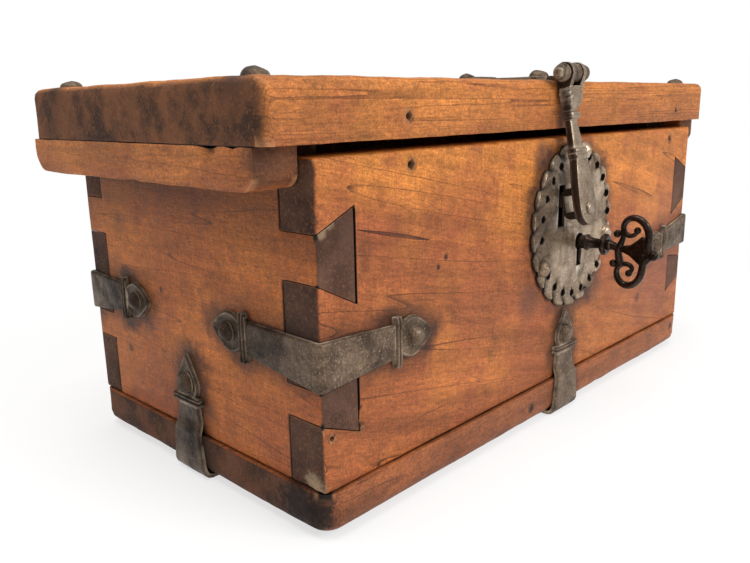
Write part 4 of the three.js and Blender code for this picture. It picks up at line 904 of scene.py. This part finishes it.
def oval_reach(middle, halves, turn):
    """How far an oval reaches from the plate's middle in a direction."""
    dx, dz = middle[0] - PLATE[0], middle[1] - PLATE[1]
    cx, cz = math.cos(turn) / halves[0], math.sin(turn) / halves[1]
    px, pz = -dx / halves[0], -dz / halves[1]
    a, b, c = cx * cx + cz * cz, 2 * (px * cx + pz * cz), px * px + pz * pz - 1
    return (-b + math.sqrt(b * b - 4 * a * c)) / (2 * a)


def lobe_ridge(phase):
    """A filed lobe across its width: a slow rise to a crest and a steep fall into the notch."""
    return math.sin(math.pi * phase ** 1.5) ** 0.7


def rim_at(turn):
    """The lobe's phase and the rim's outer and inner reach in a direction from the middle."""
    lobe = turn / PITCH % 1
    notch = float(np.interp(lobe, [0, 0.1, 0.5, 0.72, 0.86, 0.93, 1],
                            [1.8, 0.2, 0, 0.8, 2.6, 3.2, 1.8]))
    outer = oval_reach(PLATE, PLATE_HALF, turn) - notch
    inner = oval_reach(PUNCH_RING, PUNCH_RING_HALF, turn) - PUNCH_RADIUS
    return lobe, outer, min(inner, outer - 6)


def ridge_at(lobe, share):
    """How high the ridge is at a share of the way from the rim inwards."""
    return lobe_ridge((lobe - CREST_FOOT + LOBE_LEAN * share) % 1)


def lock_plate():
    steps = PLATE_LOBES * 18
    rim_shares = [0, 0.008, 0.025, 0.06, 0.11, 0.18, 0.27, 0.38, 0.5, 0.62, 0.74, 0.87, 1]
    skin = []
    for i in range(steps + 1):
        turn = math.pi * 2 * i / steps
        lobe, outer, inner = rim_at(turn)
        row = [(inner * s, PLATE_THICKNESS) for s in (0, 0.35, 0.65, 0.82, 0.92)]
        for share in rim_shares[::-1]:
            inset = share * (outer - inner)
            fade = max(0, 1 - share * RIM_FADE) ** 0.7
            worn = 1.2 * max(0, 1 - inset / 0.9) ** 2
            height = PLATE_THICKNESS + (2.7 * ridge_at(lobe, share) - 1.4) * fade - worn
            x = PLATE[0] + (outer - inset) * math.cos(turn)
            if turn < math.pi and abs(x - HASP_X) < HASP_ROOM:
                height = min(height, LOW_LOBE)
            row.append((outer - inset, height))
        row += [(outer + 0.05, 0.9), (outer, 0.15), (outer * 0.6, 0.15), (0, 0.15)]
        skin.append([(PLATE[0] + r * math.cos(turn), -h, PLATE[1] + r * math.sin(turn))
                     for r, h in row])
    piece = rolled("lock_plate_iron", skin)
    uneven(piece, 0.03, 0.5 * mm, "plate_waves")
    hammered(piece, 0.2)
    nails = [sum(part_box(f"lock_plate_nail_{k}"), Vector()) / 2 for k in (1, 2, 3)]
    cutters, punched = [], []
    for i in range(PLATE_LOBES):
        turn = (i + 0.35) * PITCH
        hole = at(PUNCH_RING[0] + PUNCH_RING_HALF[0] * math.cos(turn), -2,
                  PUNCH_RING[1] + PUNCH_RING_HALF[1] * math.sin(turn))
        if all(math.hypot(hole.x - nail.x, hole.z - nail.z) >= 8.5 * mm for nail in nails):
            punched.append(hole)
    keyhole = at(KEYHOLE[0], -2, KEYHOLE[1])
    for place, radius, sides in [(hole, PUNCH_RADIUS, 14) for hole in punched] + [
            (keyhole, KEYHOLE_RADIUS, 32)]:
        cutters.append(added(bpy.ops.mesh.primitive_cylinder_add, vertices=sides,
                             radius=radius * mm, depth=CUTTER_DEPTH * mm, location=place,
                             rotation=(math.pi / 2, 0, 0)))
    for middle, width, low, high in ((KEYHOLE[0], 7, *KEY_SLOT), (HASP_X, 9, *HASP_SLOT)):
        cutters.append(added(bpy.ops.mesh.primitive_cube_add, size=mm,
                             location=at(middle, -2, (low + high) / 2),
                             scale=(width, CUTTER_DEPTH, high - low)))
    settled(*cutters)
    *holes, key_round, key_slot, hasp_slot = cutters
    cut_out(piece, [key_round])
    cut_out(piece, [key_slot])
    cut_out(piece, [*holes, hasp_slot])
    middle = at(PLATE[0], 0, PLATE[1])
    scale_and_shade_values = []
    for v in piece.data.vertices:
        x, z = (v.co.x - middle.x) / mm, (v.co.z - middle.z) / mm
        lobe, outer, inner = rim_at(math.atan2(z, x) % (math.pi * 2))
        share = min(1, max(0, (outer - math.hypot(x, z)) / (outer - inner)))
        # The plate's outer side, less than 1.5 mm over its back, is painted black as shade
        low_edge = (middle.y - v.co.y) / mm < 1.5
        in_hole = any(math.hypot(v.co.x - h.x, v.co.z - h.z) < 2.9 * mm for h in punched)
        scale_and_shade_values.append(1 if low_edge or in_hole else min(1, max(
            0, 1.15 - ridge_at(lobe, share) * 1.5)) * max(0, 1 - share * RIM_FADE) ** 0.4)
    set_attribute(piece, "scale_and_shade", scale_and_shade_values)
    finish_piece(piece, "lock_plate", plate_iron, 40)


lock_plate()


# The hasp, drawn in its own frame: across, back from the pin and down from it

def hasp_point(x, back, drop):
    y = HASP_PIN[0] + back * math.cos(HASP_TILT) - drop * math.sin(HASP_TILT)
    z = HASP_PIN[1] - back * math.sin(HASP_TILT) - drop * math.cos(HASP_TILT)
    return (HASP_X + x, y, z)


SHUT_TILT = math.radians(5.9)
PIN_TO_LID = 4.4


def lid_side(drop):
    """Where the back of the hasp's upper part clears the lid when it is shut."""
    return (PIN_TO_LID + drop * math.sin(SHUT_TILT)) / math.cos(SHUT_TILT)


# Down from the pin, half the width, the back, the depth and the chamfer
HASP_TOP = [(8.6, 7.2, 4.6, 0.8), (9.2, 9.3, 7.6, 1.4), (10.2, 10.2, 8.3, 2.2),
            (12, 9.2, 8.5, 2.9), (13.6, 10.1, 8.7, 2.2), (15.4, 8.8, 8.7, 2.9),
            (17, 9.4, 8.6, 2.2), (18.8, 7.8, 8.3, 2.7), (20.4, 7.6, 8, 2.2), (22, 6.2, 7.2, 1.8),
            (23.8, 4.8, 5.9, 1.3), (24.8, 4.3, 5.2, 1.2), (25.4, 5.4, 6.2, 1.2),
            (26.2, 6.2, 7, 1.4), (27.6, 6.4, 7.3, 1.5), (29, 6.2, 7, 1.4), (29.8, 5.4, 6.2, 1.2),
            (30.4, 4.6, 5.3, 1.1), (31.2, 4.6, 5, 1.1)]
HASP_LOW = [(34, 4.95, 5, 1), (38, 5.4, 5, 1), (42, 5.95, 5, 1), (46.5, 6.6, 5, 1),
            (49.4, 6.7, 5.1, 0.9), (49.9, 7.5, 6.4, 1.2), (50.6, 7.9, 7.2, 1.5),
            (51.5, 7.95, 7.3, 1.5), (52.4, 7.7, 6.7, 1.3), (53, 7.1, 5.9, 0.9),
            (53.6, 7.7, 6.7, 1.3), (54.5, 7.95, 7.3, 1.5), (55.4, 7.9, 7.2, 1.5),
            (56.2, 7.5, 6.6, 1.2), (56.8, 7.1, 6, 0.7), (58, 7.25, 6, 0.9), (63, 8.2, 6, 1),
            (68, 9.1, 6, 1), (73, 9.9, 6, 1), (78, 10.5, 6, 1), (83, 11, 6, 1), (88, 11.25, 6, 1),
            (92, 11.2, 6, 1), (94.5, 10.7, 6, 1), (96.5, 9.8, 6, 1), (98.3, 8.4, 5.95, 1),
            (99.8, 6.7, 5.9, 1), (101, 4.6, 5.8, 1), (101.7, 2.6, 5.6, 0.9), (102, 0.8, 5.3, 0.7)]
HASP_BACK = 6.96


def hasp_row(drop, half, back, depth, chamfer):
    """A bar's section with its front corners chamfered and its back corners eased."""
    front = back - depth
    ease = 0.5
    ring = [(-half, back - ease), (-half, (front + back) / 2), (-half, front + chamfer),
            (-half + chamfer * 0.35, front + chamfer * 0.3), (-half + chamfer, front),
            (-half * 0.4, front), (0, front), (half * 0.4, front), (half - chamfer, front),
            (half - chamfer * 0.35, front + chamfer * 0.3), (half, front + chamfer),
            (half, (front + back) / 2), (half, back - ease), (half - ease, back), (0, back),
            (-half + ease, back)]
    return [hasp_point(x, y, drop) for x, y in ring]


def hasp_arm():
    rows = [hasp_row(drop, half, lid_side(drop) - max(0, 1.4 - (drop - 8.6) * 0.5), depth, chamfer)
            for drop, half, depth, chamfer in HASP_TOP]
    waist = lid_side(31)
    rows += [hasp_row(drop, half, waist + (HASP_BACK - waist) * min(1, (drop - 31) / 16), depth,
                      min(chamfer, half * 0.45))
             for drop, half, depth, chamfer in HASP_LOW]
    arm = rolled("hasp_arm_iron", rows)
    eyes = copy_of("hasp_arm", "hasp_eyes")
    down = Vector((0, -math.sin(HASP_TILT), -math.cos(HASP_TILT)))
    cut_away(eyes, at(*hasp_point(0, 0, 9.4)), down)
    bevel_where(eyes, sharper(40), 0.5 * mm)
    hammered(arm, 0.25)
    finish_piece(joined(arm, eyes), "hasp_arm", hasp_iron, 30)


hasp_arm()


# Along the pin from its left tip: place, half the height and how square the section is
PIN = [(-18.2, 0.2, 1), (-18.1, 2.3, 1), (-17.4, 3, 1), (-15, 3.2, 1), (-14.8, 4.4, 0),
       (-14.4, 4.9, 0), (-12.6, 5, 0), (-12.2, 4.6, 0), (-12, 5.6, 0), (-11.4, 6.1, 0),
       (-10.2, 6.1, 0), (-9.6, 5.6, 0), (-9.3, 3, 0), (9.3, 3, 0), (9.6, 4, 0), (10.6, 5, 0),
       (12.2, 5.7, 0), (14, 5.9, 0), (15.8, 5.5, 0), (17.4, 4.5, 0), (18.4, 3.1, 0),
       (18.9, 1.6, 0), (19, 0.2, 0)]


def hasp_pin():
    """The pin: a stepped boss with a square tip on the left and a ball on the right."""
    rows = []
    for x, half, square in PIN:
        row = []
        for k in range(24):
            turn = math.pi * 2 * (k + 0.5) / 24
            c, s = math.cos(turn), math.sin(turn)
            reach = half / max(abs(c), abs(s)) * 0.92 if square else half
            row.append((HASP_X + x, HASP_PIN[0] + reach * c, HASP_PIN[1] + reach * s))
        rows.append(row)
    piece = rolled("hasp_pin_iron", rows)
    hammered(piece, 0.25)
    finish_piece(piece, "hasp_pin", strap_iron, 40)


hasp_pin()


def soften(node, material, width):
    """A forged piece from the drawing, with its edges rounded."""
    piece = copy_of(node, node + "_forged")
    bevel_where(piece, sharper(30), width * mm)
    finish_piece(piece, node, material, 40)


soften("hasp_staple", hasp_iron, 0.6)
soften("key_collar", key_iron, 0.5)


# The key: the stem and bit from the drawing, and a bow of forged scrolls

def bow_point(reach, rise):
    """A point of the bow, from shares of its length and of half its height."""
    return (KEYHOLE[0], -27 - reach * 32, KEYHOLE[1] - 1.8 + rise * 25)


def scroll(name, shares, thickness):
    """A round bar along a smooth line, thinner towards its curled end."""
    bar = added(bpy.ops.curve.primitive_nurbs_path_add)
    bar.name = name
    curve = bar.data
    curve.splines.clear()
    line = curve.splines.new("NURBS")
    line.points.add(len(shares) - 1)
    line.use_endpoint_u = True
    line.order_u = 4
    line.resolution_u = 5
    for i, (point, (reach, rise)) in enumerate(zip(line.points, shares)):
        point.co = (*at(*bow_point(reach, rise)), 1)
        point.radius = 0.62 + 0.5 * min(1, i / (len(shares) - 1) * 1.6)
    curve.bevel_depth = thickness * mm
    curve.bevel_resolution = 3
    curve.use_fill_caps = True
    only(bar)
    bpy.ops.object.convert(target="MESH")
    return bpy.context.object


def ball(reach, rise, radius):
    return settled(added(bpy.ops.mesh.primitive_uv_sphere_add, segments=16, ring_count=10,
                         radius=radius * mm, location=at(*bow_point(reach, rise))))


# Lines of the bow's bars, and its middle: reach, top, bottom and half the thickness
UPPER = [(0.6, 0.56), (0.55, 0.41), (0.4, 0.37), (0.28, 0.48), (0.26, 0.68), (0.37, 0.88),
         (0.56, 0.93), (0.75, 0.79), (0.85, 0.54), (0.86, 0.31), (0.84, 0.12), (0.88, -0.06)]
LOWER = [(0.44, -0.68), (0.55, -0.58), (0.5, -0.42), (0.33, -0.4), (0.18, -0.51), (0.15, -0.74),
         (0.25, -0.97), (0.41, -1.05), (0.58, -0.98), (0.71, -0.77), (0.75, -0.51), (0.76, -0.28),
         (0.86, -0.12)]
CROSS = [(0.3, 0.5), (0.28, 0.25), (0.17, 0.02), (0.17, -0.15), (0.25, -0.46)]
PALM = [(-0.06, 0.19, -0.05, 2.9), (0.02, 0.2, -0.06, 3.2), (0.1, 0.16, -0.07, 2.7),
        (0.18, 0.11, -0.08, 2.2), (0.3, 0.1, -0.1, 2.2), (0.45, 0.14, -0.18, 2.2),
        (0.58, 0.27, -0.31, 2.3), (0.7, 0.42, -0.44, 2.3), (0.78, 0.4, -0.43, 2.3),
        (0.86, 0.24, -0.35, 2.2), (0.93, 0.05, -0.23, 1.9), (1, -0.05, -0.13, 1.2)]


def key():
    stem = copy_of("key", "key_forged")
    cut_away(stem, at(KEYHOLE[0], -27.6, KEYHOLE[1]), FRONT)
    bevel_where(stem, sharper(50), 0.25 * mm, 1)
    rows = []
    for reach, top, bottom, half in PALM:
        _, y, high = bow_point(reach, top)
        low = bow_point(reach, bottom)[2]
        middle, tall = (high + low) / 2, (high - low) / 2
        rows.append([(KEYHOLE[0] + half * math.cos(a), y, middle + tall * math.sin(a))
                     for a in [math.pi * 2 * k / 14 for k in range(14)]])
    parts = [rolled("key_palm", rows), scroll("key_upper", UPPER, 2.3),
             scroll("key_lower", LOWER, 2.3), scroll("key_cross", CROSS, 2.5),
             ball(0.14, 0.42, 2.8), ball(0.08, -0.44, 2.8), ball(0.97, -0.09, 3.6),
             ball(0.59, 0.56, 2.5), ball(0.45, -0.67, 2.5)]
    for start, end in (((0.14, 0.42), (0.3, 0.5)), ((0.08, -0.44), (0.22, -0.44))):
        steps = [tuple(a + (b - a) * share for a, b in zip(start, end))
                 for share in (0, 0.35, 0.7, 1)]
        parts.append(scroll("key_link", steps, 1.9))
    finish_piece(joined(stem, *parts), "key", key_iron, 40)


key()

# The works of the lock and the hinge pins stay as drawn
for node_name in ("lock_back_plate", "lock_key_post", "lock_ward", "bolt_spring", "bolt",
                  "hinge_pin_1", "hinge_pin_2"):
    node_object = frame["nodes"][node_name]
    node_object.data.materials.clear()
    node_object.data.materials.append(strap_iron)


# Floor, light and camera

def white_floor():
    """A sheet of white paper that fades to the white behind, for the camera and in gloss."""
    material, tree = new_material("white_paper_sweep")
    place = add_node(tree, "TexCoord")
    away = add_node(tree, "VectorMath", {"operation": "LENGTH"}, {0: place.outputs["Object"]})
    far = add_node(tree, "MapRange", SMOOTH, {
        "Value": away, "From Min": 0.28, "From Max": 0.62, "To Min": 0.66, "To Max": 1.0})
    ray = add_node(tree, "LightPath")
    seen = add_node(tree, "Math", {"operation": "MAXIMUM"}, {
        0: ray.outputs["Is Camera Ray"], 1: ray.outputs["Is Glossy Ray"]})
    seen_far = add_node(tree, "Math", MULTIPLY, {0: far, 1: seen})
    paper = add_node(tree, "BsdfDiffuse", {}, {"Color": (0.93, 0.925, 0.91, 1)})
    glow = add_node(tree, "Emission", {}, {"Color": (1, 1, 1, 1), "Strength": 1.0})
    shader = add_node(tree, "MixShader", {}, {0: seen_far, 1: paper, 2: glow})
    add_node(tree, "OutputMaterial", {}, {"Surface": shader})
    floor = added(bpy.ops.mesh.primitive_plane_add, size=8, location=(0, 0, 0))
    floor.name = "floor"
    floor.data.materials.append(material)


white_floor()


def studio_light():
    """A large soft window in front, a soft light above and a white room round them."""
    world = bpy.data.worlds.new("white_studio")
    bpy.context.scene.world = world
    world.use_nodes = True
    tree = world.node_tree
    tree.nodes.clear()
    ray = add_node(tree, "LightPath")
    seen = add_node(tree, "Math", {"operation": "MAXIMUM"}, {
        0: ray.outputs["Is Camera Ray"], 1: ray.outputs["Is Transmission Ray"]})
    strength = add_node(tree, "MapRange", {}, {"Value": seen, "To Min": 0.46, "To Max": 1.0})
    background = add_node(tree, "Background", {}, {
        "Color": (1, 1, 1, 1), "Strength": strength})
    add_node(tree, "OutputWorld", {}, {"Surface": background})
    for name, place, size, power in (
            ("large_window", (0.45, -2.2, 1.5), 1.3, 43),
            ("soft_top", (-0.4, 0.0, 2.2), 1.6, 36)):
        light = bpy.data.lights.new(name, "AREA")
        light.size = size
        light.energy = power
        lamp = in_scene(name, light)
        lamp.location = place
        lamp.rotation_euler = (Vector((0, 0, 0.1)) - Vector(place)).to_track_quat(
            "-Z", "Y").to_euler()


studio_light()


def photo_camera():
    """The photograph's place and turn, fitted to the box's edges."""
    frame_width, focal_length, sensor = 750, 729.6, 36
    yaw, pitch, roll = 46.07, -13.5, -1.08
    camera = bpy.data.cameras.new("camera")
    camera.sensor_width = sensor
    camera.lens = focal_length / frame_width * sensor
    holder = in_scene("camera", camera)
    holder.matrix_world = Matrix.Translation(at(-228.7, -259.5, 223.1))
    for degrees, axis in ((-yaw, "Z"), (90 + pitch, "X"), (roll, "Z")):
        holder.matrix_world @= Matrix.Rotation(math.radians(degrees), 4, axis)
    bpy.context.scene.camera = holder


photo_camera()
bpy.context.scene.view_settings.view_transform = "Standard"
